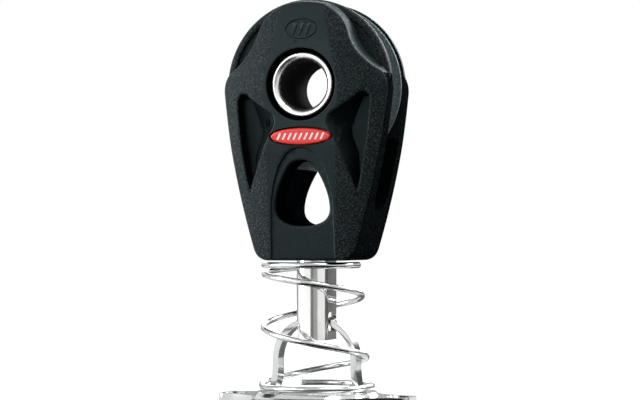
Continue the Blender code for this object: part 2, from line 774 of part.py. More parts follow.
def make_base_plate():
    """The pressed foot: a raised round land, screw ears and a slot for each bail leg."""
    ear_top = BASE_THICKNESS - EAR_DROP
    base = flat_solid("base_plate", [base_outline()], 0, ear_top)
    brim = spring_land_radius() - GAP
    land = bmesh.new()
    bmesh.ops.create_cone(
        land, cap_ends=True, segments=ROUND_STEPS, radius1=brim, radius2=brim - EAR_DROP,
        depth=2 * EAR_DROP, matrix=Matrix.Translation((0, 0, ear_top)))
    join(base, solid_from(land, "base_land", FACING_UP))
    for side, label in ((-1, "left"), (1, "right")):
        place = Matrix.Translation((side * (BASE_HALF_LENGTH - SCREW_EDGE_DISTANCE), 0, 0))
        bore = SCREW_HOLE_DIAMETER / 2
        sink = COUNTERSINK_DIAMETER / 2
        high = ear_top + sink
        low = -BASE_THICKNESS
        profile = [(0, high), (2 * sink, high), (bore, ear_top + bore - sink), (bore, low), (0, low)]
        cut(base, turned(f"screw_hole_{label}", profile, place, 32))
        middle = side * (BAIL_OUTER_RADIUS + BAIL_FOOT_FLARE - BAIL_THICKNESS / 2)
        half_x = BAIL_THICKNESS / 2 + GAP
        half_y = BAIL_DEPTH / 2 + GAP
        cut(base, box(
            f"bail_slot_{label}", (middle - half_x, -half_y, -BASE_THICKNESS),
            (middle + half_x, half_y, 2 * BASE_THICKNESS)))
    return finish_piece(base, STAINLESS)


# Spring

def ramp(turns, begin, end):
    """Distance run at a speed that grows from 0 at begin to 1 at end and then stays."""
    if turns <= begin:
        return 0.0
    if turns < end:
        return (turns - begin) ** 2 / (2 * (end - begin))
    return turns - (begin + end) / 2


def fall(turns):
    """How far the coil has fallen, in turns at its full pitch: closed ends, even middle."""
    return ramp(turns, *SPRING_LEAVES_TOP) - ramp(turns, *SPRING_MEETS_FOOT)


def spring_point(turns):
    """The wire's centre: it starts at the left and falls as it passes the front."""
    share = (turns - SPRING_START) / (SPRING_END - SPRING_START)
    top_radius = (SPRING_TOP_DIAMETER - WIRE_DIAMETER) / 2
    foot_radius = (SPRING_FOOT_DIAMETER - WIRE_DIAMETER) / 2
    radius = top_radius + (foot_radius - top_radius) * share ** SPRING_TAPER
    shift = SPRING_TOP_SHIFT * (1 - share)
    angle = math.pi + 2 * math.pi * turns
    top = BLOCK_BOTTOM - GAP - WIRE_DIAMETER / 2
    foot = BASE_THICKNESS + GAP + WIRE_DIAMETER / 2
    height = top + (foot - top) * fall(turns) / fall(SPRING_END)
    return (shift + radius * math.cos(angle), radius * math.sin(angle), height)


def make_spring():
    """A conical left-hand spring of round wire with closed ends."""
    curve = bpy.data.curves.new("spring", "CURVE")
    curve.dimensions = "3D"
    curve.bevel_depth = WIRE_DIAMETER / 2
    curve.bevel_resolution = 2
    curve.use_fill_caps = True
    spline = curve.splines.new("POLY")
    length = SPRING_END - SPRING_START
    count = round(length * SPRING_POINTS_PER_TURN)
    spline.points.add(count)
    for step, point in enumerate(spline.points):
        point.co = (*spring_point(SPRING_START + length * step / count), 1)
    spring = bpy.data.objects.new("spring", curve)
    PARTS.objects.link(spring)
    return finish_piece(spring, SPRING_STEEL)


# Joint axes

def make_axis(name, height, parent=None):
    """An empty on a joint's axis, which carries the pieces that move about it."""
    axis = bpy.data.objects.new(name, None)
    axis.empty_display_size = BAIL_OUTER_RADIUS
    axis.matrix_world = Matrix.Translation((0, 0, height))
    PARTS.objects.link(axis)
    if parent:
        carry(parent, [axis.name])
    return axis


def carry(axis, names):
    """Parents pieces to an axis without moving them."""
    bpy.context.view_layer.update()
    for name in names:
        piece = bpy.data.objects[name]
        place = piece.matrix_world.copy()
        piece.parent = axis
        piece.matrix_parent_inverse = axis.matrix_world.inverted()
        piece.matrix_world = place


def hang_on_axes():
    """The chain of motions: side tilt, fore-and-aft tilt, and the sheave and balls on the hub."""
    side_tilt = make_axis("side_tilt_axis", BAIL_CENTRE)
    fore_aft_tilt = make_axis("fore_aft_tilt_axis", BAIL_CENTRE + BAIL_MID_RADIUS, side_tilt)
    sheave_spin = make_axis("sheave_spin_axis", HUB_HEIGHT, fore_aft_tilt)
    ball_orbit = make_axis("ball_orbit_axis", HUB_HEIGHT, fore_aft_tilt)
    carry(side_tilt, ["spring"])
    carry(fore_aft_tilt, [
        "front_cheek", "rear_cheek", "badge", "hub_tube", "inner_race", "post", "post_pin"])
    carry(sheave_spin, ["sheave"])
    carry(ball_orbit, [piece.name for piece in PARTS.objects if piece.name.startswith("ball_")
                       and piece.type == "MESH"])


clear_scene()
PARTS = new_collection("stand_up_block")
CUTTERS = new_collection("cutters")
make_cheek("front_cheek", FACING_FRONT, True)
make_cheek("rear_cheek", FACING_REAR, False)
make_badge()
make_hub_tube()
make_inner_race()
make_sheave()
make_balls()
make_post()
make_post_pin()
make_bail()
make_base_plate()
make_spring()
hang_on_axes()
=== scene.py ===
"""Looks of the stand-up block: its finishes, smooth moulded and turned forms, light and camera.

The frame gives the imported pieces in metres, with the foot's underside at the origin, X along
the foot, Y along the sheave's axle with the badge at -Y, and Z up.
"""

import math

import bmesh
import bpy
import numpy as np
from mathutils import Matrix, Vector
from mathutils.geometry import delaunay_2d_cdt


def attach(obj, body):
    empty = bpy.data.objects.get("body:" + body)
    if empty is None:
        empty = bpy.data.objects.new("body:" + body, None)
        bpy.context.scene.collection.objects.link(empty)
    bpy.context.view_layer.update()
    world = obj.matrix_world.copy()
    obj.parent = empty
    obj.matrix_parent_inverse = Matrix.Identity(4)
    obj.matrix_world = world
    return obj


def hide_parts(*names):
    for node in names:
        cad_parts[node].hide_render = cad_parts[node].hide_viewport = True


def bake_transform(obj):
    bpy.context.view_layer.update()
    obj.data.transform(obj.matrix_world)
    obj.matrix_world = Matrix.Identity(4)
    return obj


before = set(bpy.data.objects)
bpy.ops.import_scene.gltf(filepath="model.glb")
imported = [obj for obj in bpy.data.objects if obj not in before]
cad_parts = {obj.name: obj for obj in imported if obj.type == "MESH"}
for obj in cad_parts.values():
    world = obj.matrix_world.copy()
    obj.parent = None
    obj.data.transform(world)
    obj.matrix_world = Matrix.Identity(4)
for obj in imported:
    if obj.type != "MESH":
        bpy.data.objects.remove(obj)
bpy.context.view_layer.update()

MM = 0.001

# Block, in millimetres from the hub
HUB_HEIGHT = 60.8
CHEEK_INNER = 3.9
JOINT_FACE = 0.04
CROWN = 9.5
CROWN_TOP = 7.9
CROWN_TAIL = 8.0
CREASE_TOP_HALF = 3.9
CREASE_HUB_HALF = 7.3
CREASE_TAIL_HALF = 6.4
FACET_FALL = 0.12
FACET_CURVE = 0.0198
DISC_RADIUS = 16.45
RIM_INNER = 15.05
RIM_FACE = 5.3
RIM_ROUND = 0.65
WEB_FACE = 4.7
CROWN_BEND = 7.8
SHOULDER_HALF = 16.6
TAIL_LENGTH = 33.2
WALL_DRAFT = 0.95
EDGE_ROUND = 0.6
WINDOW_ROUND = 0.5
PANEL_RADIUS = 15.75
PANEL_ARCH_TOP = 11.8
PANEL_ARCH_RISE = 10.1
PANEL_ARCH_SHOULDER = 4.7
PANEL_ARCH_LEG = 6.2
PANEL_ARCH_FOOT = 6.45
PANEL_SINK = 0.3
WINDOW_TOP = -14.3
WINDOW_FOOT = -26.6
WINDOW_HALF = 5.35
RECESS_RADIUS = 6.85
RECESS_FLOOR = 7.45
RECESS_LIP = 0.15
TUBE_HOLE_RADIUS = 5.5
POCKET_OUTER_EDGE = 13.3
POCKET_WIDTH = 8.0
POCKET_TOP = -1.4
POCKET_LENGTH = 18.9
POCKET_FLOOR = 5.6
BADGE_HEIGHT = -9.8
BADGE_HALF_WIDTH = 6.0
BADGE_HALF_HEIGHT = 1.55
BADGE_SEAT_GAP = 0.3
BADGE_ROUND = 0.3
MARK_HEIGHT = 10.35
MARK_HALF_WIDTH = 3.25
MARK_HALF_HEIGHT = 2.05
MARK_RELIEF = 0.16
SWALLOW_AXIS = -19.9
POST_POCKET_TOP = -28.3
POST_POCKET_HALF = 3.4
POST_HALF = 3.1
POST_NOSE = 2.3
POST_BACK = 2.6
POST_SHEET = 1.0
TUBE_BORE = 4.6
TUBE_FLARE = 6.15
TUBE_FACE = 8.65
TUBE_ROLL = 0.55
SHEAVE_RADIUS = 16.0
SHEAVE_HALF_WIDTH = 3.6
GROOVE_RADIUS = 11.3
GROOVE_HALF_WIDTH = 3.05
BALL_TRACK_CENTRE = 8.5
BALL_TRACK_RADIUS = 1.8
BALL_ROW = 1.75

# Foot, in millimetres from its underside
BASE_THICKNESS = 2.5
BASE_EDGE_ROUND = 0.3
EAR_TOP = 1.8
BASE_HALF_LENGTH = 19.3
EAR_HALF_DEPTH = 3.8
EAR_END_HALF_DEPTH = 3.55
EAR_CORNER = 1.6
LAND_RADIUS = 12.7
SCREW_PLACE = 16.4
SLOT_PLACE = 8.7
SLOT_HALF_LENGTH = 0.9
SLOT_HALF_DEPTH = 1.95
BAIL_CENTRE = 8.5
BAIL_OUTER_RADIUS = 8.5
BAIL_INNER_RADIUS = 7.3
BAIL_HALF_DEPTH = 1.65
BLOCK_BOTTOM = 27.6

# Spring, in turns from the top end of the wire and millimetres from the foot's underside
WIRE_RADIUS = 0.6
WIRE_START = 0.03
WIRE_END = 3.85
MIDDLE_TURN = 1.95
TOP_COIL_RADIUS = 8.9
COIL_SPREAD = 2.0
TOP_COIL_SHIFT = 1.3
TOP_COIL_HEIGHT = 26.7
FOOT_COIL_HEIGHT = 3.4

# Camera and cards, in metres and in degrees to the right
CAMERA_TURN = 19.3
CAMERA_DISTANCE = 0.38
CAMERA_HEIGHT = 0.0315
PHOTO_WIDTH = 640
MIDDLE = (0, 0, 0.045)
LOW_CARD_DISTANCE = 0.13
LOW_CARD_HEIGHT = 0.03


# Flat outlines, in millimetres

def arc(centre, radius, start, end, steps):
    """Points on a circle, with angles in degrees from the first axis."""
    turns = [math.radians(start + (end - start) * step / steps) for step in range(steps + 1)]
    return [(centre[0] + radius * math.cos(t), centre[1] + radius * math.sin(t)) for t in turns]


def ring(centre, half_width, half_height, steps):
    x, y = centre
    turns = [2 * math.pi * step / steps for step in range(steps)]
    return [(x + half_width * math.cos(t), y + half_height * math.sin(t)) for t in turns]


def bend(start, control, end, steps):
    """Points on a curve that leaves start and reaches end along the lines to control."""
    points = []
    for step in range(steps + 1):
        t = step / steps
        points.append(tuple(
            (1 - t) ** 2 * a + 2 * t * (1 - t) * b + t ** 2 * c
            for a, b, c in zip(start, control, end)))
    return points


def both_sides(half):
    """Closes an outline from its right half, listed from the top to the bottom."""
    return half + [(-x, z) for x, z in reversed(half) if abs(x) > 1e-6]


def rounded(outline, passes):
    """Cuts the corners of an outline again and again, so that it turns into a soft curve."""
    for _ in range(passes):
        cut = []
        for (x1, z1), (x2, z2) in zip(outline, outline[1:] + outline[:1]):
            cut.append((0.75 * x1 + 0.25 * x2, 0.75 * z1 + 0.25 * z2))
            cut.append((0.25 * x1 + 0.75 * x2, 0.25 * z1 + 0.75 * z2))
        outline = cut
    return outline


def spaced(outline, step):
    """The same closed outline with points at even steps between its corners."""
    points = []
    for (x1, z1), (x2, z2) in zip(outline, outline[1:] + outline[:1]):
        count = max(1, round(math.hypot(x2 - x1, z2 - z1) / step))
        points += [(x1 + (x2 - x1) * i / count, z1 + (z2 - z1) * i / count) for i in range(count)]
    return points


def inset(outline, distance):
    """The outline moved inward by a distance, along its corners' bisectors."""
    points = np.array(outline)
    before = points - np.roll(points, 1, axis=0)
    after = np.roll(points, -1, axis=0) - points
    before /= np.linalg.norm(before, axis=1)[:, None]
    after /= np.linalg.norm(after, axis=1)[:, None]
    x, y = points.T
    inward = 1 if np.sum(x * np.roll(y, -1) - y * np.roll(x, -1)) > 0 else -1
    normal = inward * np.stack([-(before + after)[:, 1], (before + after)[:, 0]], axis=1)
    length = np.linalg.norm(normal, axis=1)
    half_turn = np.maximum(length / 2, 0.5)
    moved = points + normal / length[:, None] * (distance / half_turn)[:, None]
    return [tuple(p) for p in moved]


def distance_inside(points, outline):
    """Distance of each point from a closed outline, positive inside it."""
    corners = np.array(outline)
    follow = np.roll(corners, -1, axis=0)
    nearest = np.full(len(points), 1e9)
    inside = np.zeros(len(points), bool)
    for a, b in zip(corners, follow):
        along = b - a
        share = np.clip(((points - a) @ along) / max(along @ along, 1e-12), 0, 1)
        nearest = np.minimum(nearest, np.linalg.norm(points - a - share[:, None] * along, axis=1))
        crosses = (a[1] > points[:, 1]) != (b[1] > points[:, 1])
        rise = along[1] if abs(along[1]) > 1e-12 else 1e-12
        inside ^= crosses & (points[:, 0] < a[0] + along[0] * (points[:, 1] - a[1]) / rise)
    return np.where(inside, nearest, -nearest)


def smooth_step(values, low, high):
    share = np.clip((values - low) / (high - low), 0, 1)
    return share * share * (3 - 2 * share)


def soft_least(first, second, reach):
    """The lesser of two heights, blended over a reach where they meet."""
    share = np.clip(0.5 + (second - first) / (2 * reach), 0, 1)
    return second + (first - second) * share - reach * share * (1 - share)


# The cheek's outlines

def panel_outline():
    """The raised panel: a curved neck on the disc that spreads into shoulders and the tail."""
    neck_end, neck_top = 74.16, (4.3, 15.1516)
    shares = ((0.5, 0.87), (0.55, 0.64), (0.62, 0.37), (0.9, 0.18), (1.0, 0.11))
    neck_bend, neck, hip_bend, hip, shoulder_bend = [
        (x * SHOULDER_HALF, z * neck_top[1]) for x, z in shares]
    widest, tail_corner = (SHOULDER_HALF, -1), (10.3, -30.99)
    top = arc((0, 0), PANEL_RADIUS, 90, neck_end, 10)
    upper = bend(neck_top, neck_bend, neck, 16)
    lower = bend(neck, hip_bend, hip, 16)
    shoulder = bend(hip, shoulder_bend, widest, 12)
    side = bend(widest, (14.94, -16.0), tail_corner, 40)
    corner = bend(tail_corner, (9.52, -TAIL_LENGTH), (7.18, -TAIL_LENGTH), 12)
    return both_sides(top + upper[1:] + lower[1:] + shoulder[1:] + side[1:] + corner[1:])


def window_outline():
    """An egg with a narrow round top and a flat round foot."""
    shoulder, widest = (2.89, -16.01), (WINDOW_HALF, -23.3)
    top = bend((0, WINDOW_TOP), (1.93, WINDOW_TOP), shoulder, 12)
    side = bend(shoulder, (WINDOW_HALF, -20.15), widest, 16)
    heel = bend(widest, (WINDOW_HALF, WINDOW_FOOT), (0, WINDOW_FOOT), 18)
    return both_sides(top + side[1:] + heel[1:])


def crease_half(z):
    """Half-width of the flat crown at a height above the hub."""
    above = CREASE_HUB_HALF + (CREASE_TOP_HALF - CREASE_HUB_HALF) * np.clip(z / DISC_RADIUS, 0, 1.2)
    below = (CREASE_TAIL_HALF - CREASE_HUB_HALF) * np.clip(-z / TAIL_LENGTH, 0, 1.2)
    return above + below


def arch_outline():
    """The flat panel round the window: an arch on legs beside the crease."""
    top, foot = -PANEL_ARCH_TOP, -TAIL_LENGTH - 0.6
    arch = bend((0, top), (PANEL_ARCH_SHOULDER, top), (PANEL_ARCH_LEG, top - PANEL_ARCH_RISE), 28)
    return both_sides(arch + [(PANEL_ARCH_FOOT, foot), (0, foot)])


# Corners of a pocket's brim and floor, clockwise from the top left of the right-hand one, as
# shares of the pocket's width inward from its outer edge and of its length down from its top
POCKET_BRIM = (
    (0.36, 0.05), (0.26, 0.00), (0.10, 0.00), (0.00, 0.06), (0.08, 0.43), (0.24, 0.85),
    (0.33, 1.00), (0.45, 0.85), (0.71, 0.55), (1.00, 0.31), (0.96, 0.23), (0.63, 0.13))
POCKET_BED = (
    (0.30, 0.10), (0.25, 0.05), (0.11, 0.05), (0.035, 0.09), (0.11, 0.43), (0.26, 0.82),
    (0.34, 0.92), (0.35, 0.78), (0.36, 0.62), (0.52, 0.44), (0.54, 0.36), (0.42, 0.22))


def pocket_outline(shares, side):
    corners = [
        (side * (POCKET_OUTER_EDGE - POCKET_WIDTH * inward), POCKET_TOP - POCKET_LENGTH * down)
        for inward, down in shares]
    return spaced(rounded(spaced(corners, 1.0), 2), 0.25)


def slanted_bar(middle_x):
    """One of the raised bars in the crown's oval."""
    corners = ((-0.62, -1.15), (-0.12, -1.2), (0.32, -0.2), (0.62, 1.15), (0.12, 1.2), (-0.32, 0.2))
    return [(middle_x + x, MARK_HEIGHT + z) for x, z in corners]


def badge_oval(grown, steps=96):
    return ring((0, BADGE_HEIGHT), BADGE_HALF_WIDTH + grown, BADGE_HALF_HEIGHT + grown, steps)


def mark_oval(grown):
    return ring((0, MARK_HEIGHT), MARK_HALF_WIDTH + grown, MARK_HALF_HEIGHT + grown, 72)


PANEL = spaced(panel_outline(), 0.5)
WINDOW = spaced(window_outline(), 0.4)
ARCH = spaced(arch_outline(), 0.5)
BADGE_SEAT = badge_oval(BADGE_SEAT_GAP)
MARK_BARS = [spaced(rounded(slanted_bar(x), 2), 0.3) for x in (-1.35, 0.0, 1.35)]
POCKETS = [
    (pocket_outline(POCKET_BRIM, side), pocket_outline(POCKET_BED, side)) for side in (1, -1)]


# The cheek's heights

def roof(points):
    """The outer envelope: a crown that bends back at the top and the tail, with side facets."""
    x, z = np.abs(points[:, 0]), points[:, 1]
    top_slope = (CROWN - CROWN_TOP) / (DISC_RADIUS - CROWN_BEND)
    tail_slope = (CROWN - CROWN_TAIL) / (TAIL_LENGTH - PANEL_ARCH_TOP)
    crown = soft_least(CROWN - top_slope * (z - CROWN_BEND), np.full(len(z), CROWN), reach=0.7)
    crown = soft_least(crown, CROWN - tail_slope * (-z - PANEL_ARCH_TOP), reach=0.1)
    beyond = np.maximum(x - crease_half(z), -1)
    facet = crown - FACET_FALL * beyond - FACET_CURVE * beyond * np.maximum(beyond, 0)
    return soft_least(crown, facet, reach=0.03)


def round_over(distance, radius):
    """Fall of a rounded edge, at a distance inward from it."""
    share = np.clip(1 - distance / radius, 0, 1)
    return radius * (1 - np.sqrt(np.clip(1 - share ** 2, 0, 1)))


def outer_height(points, looks_front):
    """Depth of the cheek's outer face from the block's middle plane."""
    x, z = points[:, 0], points[:, 1]
    radius = np.hypot(x, z)
    top = roof(points)

    arch = distance_inside(points, ARCH)
    top = top - PANEL_SINK * smooth_step(arch, 0.0, 0.16)
    top = top - 0.9 * round_over(-distance_inside(points, WINDOW), WINDOW_ROUND)

    panel = distance_inside(points, PANEL)
    top = top - round_over(panel, EDGE_ROUND)

    rim_in = smooth_step(radius, RIM_INNER - 0.12, RIM_INNER + 0.06)
    rim = WEB_FACE + (RIM_FACE - WEB_FACE) * rim_in - round_over(DISC_RADIUS - radius, RIM_ROUND)
    wall = top - (CROWN - WEB_FACE) * np.clip(-panel / WALL_DRAFT, 0, 2)
    height = np.where(panel >= 0, top, np.maximum(rim, wall))

    for brim_outline, bed_outline in POCKETS:
        brim = distance_inside(points, brim_outline)
        bed = distance_inside(points, bed_outline)
        share = np.clip(brim / np.maximum(brim - bed, 1e-6), 0, 1)
        share = np.where(bed >= 0, 1.0, share)
        sunk = height + (POCKET_FLOOR - height) * share
        height = np.where(brim > 0, sunk, height - 0.12 * (1 - smooth_step(-brim, 0, 0.3)))

    if looks_front:
        seat = distance_inside(points, BADGE_SEAT)
        height = height - 1.1 * smooth_step(seat, 0.0, 0.06)
        height = height + mark_height(points)

    height = height - round_over(radius - RECESS_RADIUS, RECESS_LIP)
    return np.where(radius < RECESS_RADIUS - 0.01, RECESS_FLOOR, height)


def mark_height(points):
    """The mould's generic mark on the crown: a fine sunk oval round three raised slanted bars."""
    oval = distance_inside(points, mark_oval(0.0))
    height = -MARK_RELIEF * smooth_step(oval, 0, 0.08) * (1 - smooth_step(oval, 0.24, 0.34))
    for bar in MARK_BARS:
        height = height + MARK_RELIEF * smooth_step(distance_inside(points, bar), 0, 0.12)
    return height


def inner_height(points, looks_front):
    """Depth of the cheek's inner face: sheave room, rope swallow, joint face and post pocket."""
    x, z = points[:, 0], points[:, 1]
    fall = np.clip(SWALLOW_AXIS - z, 0, CHEEK_INNER)
    depth = np.maximum(np.sqrt(np.maximum(CHEEK_INNER ** 2 - fall ** 2, 0)), JOINT_FACE)
    round_front = POST_NOSE + np.sqrt(np.maximum(POST_POCKET_HALF ** 2 - x ** 2, 0))
    pocket = round_front if looks_front else np.full(len(x), POST_BACK + 0.3)
    in_pocket = (np.abs(x) < POST_POCKET_HALF) & (z < POST_POCKET_TOP)
    return np.where(in_pocket, np.maximum(pocket, JOINT_FACE), depth)


# Meshes

FACING_UP = Matrix.Identity(4)
FACING_FRONT = Matrix(((1, 0, 0, 0), (0, 0, -1, 0), (0, 1, 0, 0), (0, 0, 0, 1)))
FACING_BACK = Matrix(((-1, 0, 0, 0), (0, 0, 1, 0), (0, 1, 0, 0), (0, 0, 0, 1)))
FACING_RIGHT = Matrix(((0, 0, 1, 0), (1, 0, 0, 0), (0, 1, 0, 0), (0, 0, 0, 1)))
FRONT_OF_HUB = Matrix.Translation((0, 0, HUB_HEIGHT * MM)) @ FACING_FRONT
BACK_OF_HUB = Matrix.Translation((0, 0, HUB_HEIGHT * MM)) @ FACING_BACK


def flat_mesh(loops, lines, extra):
    """Triangles over closed loops and open lines, which become edges, and over single points."""
    points, edges = [], []
    for loop in loops:
        first, count = len(points), len(loop)
        edges += [(first + i, first + (i + 1) % count) for i in range(count)]
        points += loop
    for line in lines:
        edges += [(len(points) + i, len(points) + i + 1) for i in range(len(line) - 1)]
        points += line
    points += extra
    made = delaunay_2d_cdt([Vector(p) for p in points], edges, [], 0, 1e-5)
    triangles = [tuple(face) for face in made[2] if len(face) == 3]
    return np.array([tuple(corner) for corner in made[0]]), np.array(triangles)


def relief_piece(name, corners, triangles, outer, inner, place):
    """A closed skin from one flat mesh: its outer face, its inner face and the walls between."""
    count = len(corners)
    both = np.concatenate([
        np.column_stack([corners, outer]), np.column_stack([corners, inner])]) * MM
    first, second, third = (corners[triangles[:, i]] for i in range(3))
    (ax, ay), (bx, by) = (second - first).T, (third - first).T
    facing = np.where((ax * by - ay * bx > 0)[:, None], triangles, triangles[:, ::-1])
    faces = [tuple(t) for t in facing] + [tuple(t[::-1] + count) for t in facing]
    owners = {}
    for triangle in facing:
        for i in range(3):
            edge = (triangle[i], triangle[(i + 1) % 3])
            owners.setdefault((min(edge), max(edge)), []).append(edge)
    for edges in owners.values():
        if len(edges) == 1:
            a, b = edges[0]
            faces.append((b, a, a + count, b + count))
    piece = new_piece(name, mesh_of(name, both, [tuple(int(i) for i in f) for f in faces]))
    piece.data.transform(place)
    piece.data.update()
    piece.data.validate()
    return piece


def mesh_of(name, points, faces):
    mesh = bpy.data.meshes.new(name)
    mesh.from_pydata([tuple(point) for point in points], [], faces)
    return mesh


def new_piece(name, data):
    """An object in the scene round a mesh, curve, lamp or camera."""
    piece = bpy.data.objects.new(name, data)
    bpy.context.scene.collection.objects.link(piece)
    return piece


def soften(piece, sharp_angle):
    """Smooth shading that breaks at sharp edges and keeps large flats flat."""
    piece.data.polygons.foreach_set("use_smooth", [True] * len(piece.data.polygons))
    piece.data.set_sharp_from_angle(angle=math.radians(sharp_angle))
    weighted = piece.modifiers.new("Flat faces first", "WEIGHTED_NORMAL")
    weighted.keep_sharp = True
    weighted.weight = 80


def crease_line(offset, side):
    """A line beside the crease from the top of the crown to the tail."""
    heights = np.concatenate([np.linspace(16.4, 0, 24), np.linspace(-1, -34, 20)])
    return [(side * (float(crease_half(z)) + offset), float(z)) for z in heights]


def cheek_mesh(looks_front):
    """The cheek's flat mesh, with rings of corners along every edge that is rounded or steep."""
    loops = []
    loops += [ring((0, 0), RIM_INNER + d, RIM_INNER + d, 160) for d in (-0.14, -0.06, 0.02, 0.1)]
    loops += [ring((0, 0), DISC_RADIUS - d, DISC_RADIUS - d, 160) for d in (
        0.65, 0.5, 0.36, 0.24, 0.14, 0.07, 0.02, 0.0)]
    loops += [ring((0, 0), r, r, 128) for r in (
        TUBE_HOLE_RADIUS, 6.3, RECESS_RADIUS - 0.04, RECESS_RADIUS, 6.9, 6.95, 7.02, 7.3)]
    loops += [inset(PANEL, d) for d in (
        -0.8, -0.6, -0.4, -0.2, 0.0, 0.04, 0.1, 0.2, 0.33, 0.48, 0.65)]
    loops += [inset(WINDOW, d) for d in (0.0, -0.02, -0.06, -0.13, -0.23, -0.35, -0.45, -0.52)]
    loops += [inset(ARCH, d) for d in (-0.02, 0.04, 0.08, 0.12, 0.18)]
    for brim_outline, bed_outline in POCKETS:
        loops += [inset(brim_outline, d) for d in (-0.3, -0.15, -0.05, 0.02)]
        loops += [bed_outline]
    if looks_front:
        loops += [inset(BADGE_SEAT, d) for d in (-0.02, 0.0, 0.03, 0.07)]
        loops += [mark_oval(-d) for d in (0.0, 0.04, 0.09, 0.23, 0.29, 0.35)]
        loops += [inset(bar, d) for bar in MARK_BARS for d in (0.0, 0.06, 0.12)]
    lines = [crease_line(d, side) for d in (-0.5, -0.2, 0.0, 0.2, 0.5) for side in (1, -1)]
    levels = [SWALLOW_AXIS - CHEEK_INNER * math.sin(math.radians(a)) for a in range(0, 91, 10)]
    lines += [[(float(x), z) for x in np.arange(-17, 17.1, 0.5)] for z in levels]
    half, below = POST_POCKET_HALF, -34
    lines += [[(-half, z), (half, z)] for z in (POST_POCKET_TOP, POST_POCKET_TOP + 0.03)]
    lines += [[(x, POST_POCKET_TOP), (x, below)] for x in np.linspace(-half, half, 21)]
    lines += [[(x, POST_POCKET_TOP + 0.03), (x, below)] for x in (-half - 0.03, half + 0.03)]
    fill = []
    for z in np.arange(-33, 16.5, 0.9):
        fill += [(float(x), float(z)) for x in np.arange(-16.2, 16.3, 0.9)]
    for side in (1, -1):
        for z in np.arange(-20.5, -1, 0.3):
            fill += [(side * float(x), float(z)) for x in np.arange(4.8, 13.6, 0.3)]
    corners, triangles = flat_mesh(loops, lines, fill)
    middle = corners[triangles].mean(axis=1)
    radius = np.hypot(middle[:, 0], middle[:, 1])
    inside = (radius < DISC_RADIUS) | (distance_inside(middle, PANEL) > 0)
    inside &= (radius > TUBE_HOLE_RADIUS) & (distance_inside(middle, WINDOW) < 0)
    return corners, triangles[inside]


def make_cheek(name, place, looks_front):
    corners, triangles = cheek_mesh(looks_front)
    used, triangles = np.unique(triangles, return_inverse=True)
    triangles = triangles.reshape(-1, 3)
    corners = corners[used]
    outer = outer_height(corners, looks_front)
    inner = inner_height(corners, looks_front)
    return relief_piece(name, corners, triangles, outer, inner, place)


# Turned, folded and coiled pieces

def turned(name, profile, place, steps):
    """A piece turned about place's third axis from a closed profile of (radius, depth) points."""
    turns = np.linspace(0, 2 * math.pi, steps, endpoint=False)
    corners = np.array(profile) * MM
    count = len(corners)
    points = np.concatenate([np.column_stack([
        corners[:, 0] * math.cos(t), corners[:, 0] * math.sin(t), corners[:, 1]]) for t in turns])
    faces = []
    for step in range(steps):
        here, there = step * count, (step + 1) % steps * count
        for i in range(count):
            j = (i + 1) % count
            faces.append((here + i, here + j, there + j, there + i))
    mesh = mesh_of(name, points, faces)
    mesh.transform(place)
    return outward(new_piece(name, mesh))


def outward(piece):
    """Welds coinciding corners and turns every face outward."""
    form = bmesh.new()
    form.from_mesh(piece.data)
    bmesh.ops.remove_doubles(form, verts=form.verts, dist=1e-7)
    bmesh.ops.recalc_face_normals(form, faces=form.faces)
    form.to_mesh(piece.data)
    form.free()
    return piece


def extruded(name, outlines, low, high, place):
    """Flat outlines in millimetres, filled and raised between two levels."""
    curve = bpy.data.curves.new(name, "CURVE")
    curve.dimensions = "2D"
    curve.fill_mode = "BOTH"
    curve.extrude = (high - low) / 2 * MM
    for outline in outlines:
        spline = curve.splines.new("POLY")
        spline.points.add(len(outline) - 1)
        for point, (u, v) in zip(spline.points, outline):
            point.co = (u * MM, v * MM, 0, 1)
        spline.use_cyclic_u = True
    guide = new_piece(name, curve)
    mesh = finished_mesh(guide)
    bpy.data.objects.remove(guide, do_unlink=True)
    mesh.transform(place @ Matrix.Translation((0, 0, (low + high) / 2 * MM)))
    return outward(new_piece(name, mesh))


def finished_mesh(piece):
    """The mesh that a curve, or a piece with its modifiers, ends up with."""
    bpy.context.view_layer.update()
    return bpy.data.meshes.new_from_object(
        piece.evaluated_get(bpy.context.evaluated_depsgraph_get()))


def apply_modifiers(piece):
    mesh = finished_mesh(piece)
    piece.modifiers.clear()
    piece.data = mesh


def combine(piece, other, operation="DIFFERENCE"):
    """Cuts another shape out of a piece, or joins it on, and removes it."""
    step = piece.modifiers.new(operation, "BOOLEAN")
    step.operation = operation
    step.solver = "EXACT"
    step.object = other
    apply_modifiers(piece)
    bpy.data.objects.remove(other, do_unlink=True)


def break_edges(piece, width, angle, segments):
    """Rounds every edge sharper than an angle."""
    rounding = piece.modifiers.new("Edges", "BEVEL")
    rounding.width = width * MM
    rounding.segments = segments
    rounding.limit_method = "ANGLE"
    rounding.angle_limit = math.radians(angle)
    rounding.miter_outer = "MITER_ARC"
    apply_modifiers(piece)


def make_hub_ring():
    """The tube through the hub, with both its ends rolled outward."""
    brow, summit = (TUBE_BORE + 0.08, 7.5), (TUBE_FLARE - TUBE_ROLL, TUBE_FACE)
    throat = bend((TUBE_BORE, 6.9), (TUBE_BORE, 7.2), brow, 8)
    crest = bend(brow, (4.98, 8.38), summit, 18)
    lip = arc((summit[0], TUBE_FACE - TUBE_ROLL), TUBE_ROLL, 88, -70, 16)
    back = bend((TUBE_FLARE - 0.36, TUBE_FACE - 1.07), (5.4, TUBE_FACE - 1.1), (5.2, 7.2), 8)
    rear = throat[:-1] + crest[:-1] + lip + back
    front = [(radius, -depth) for radius, depth in reversed(rear)]
    return turned("rolled_hub_tube", rear + front, BACK_OF_HUB, 192)


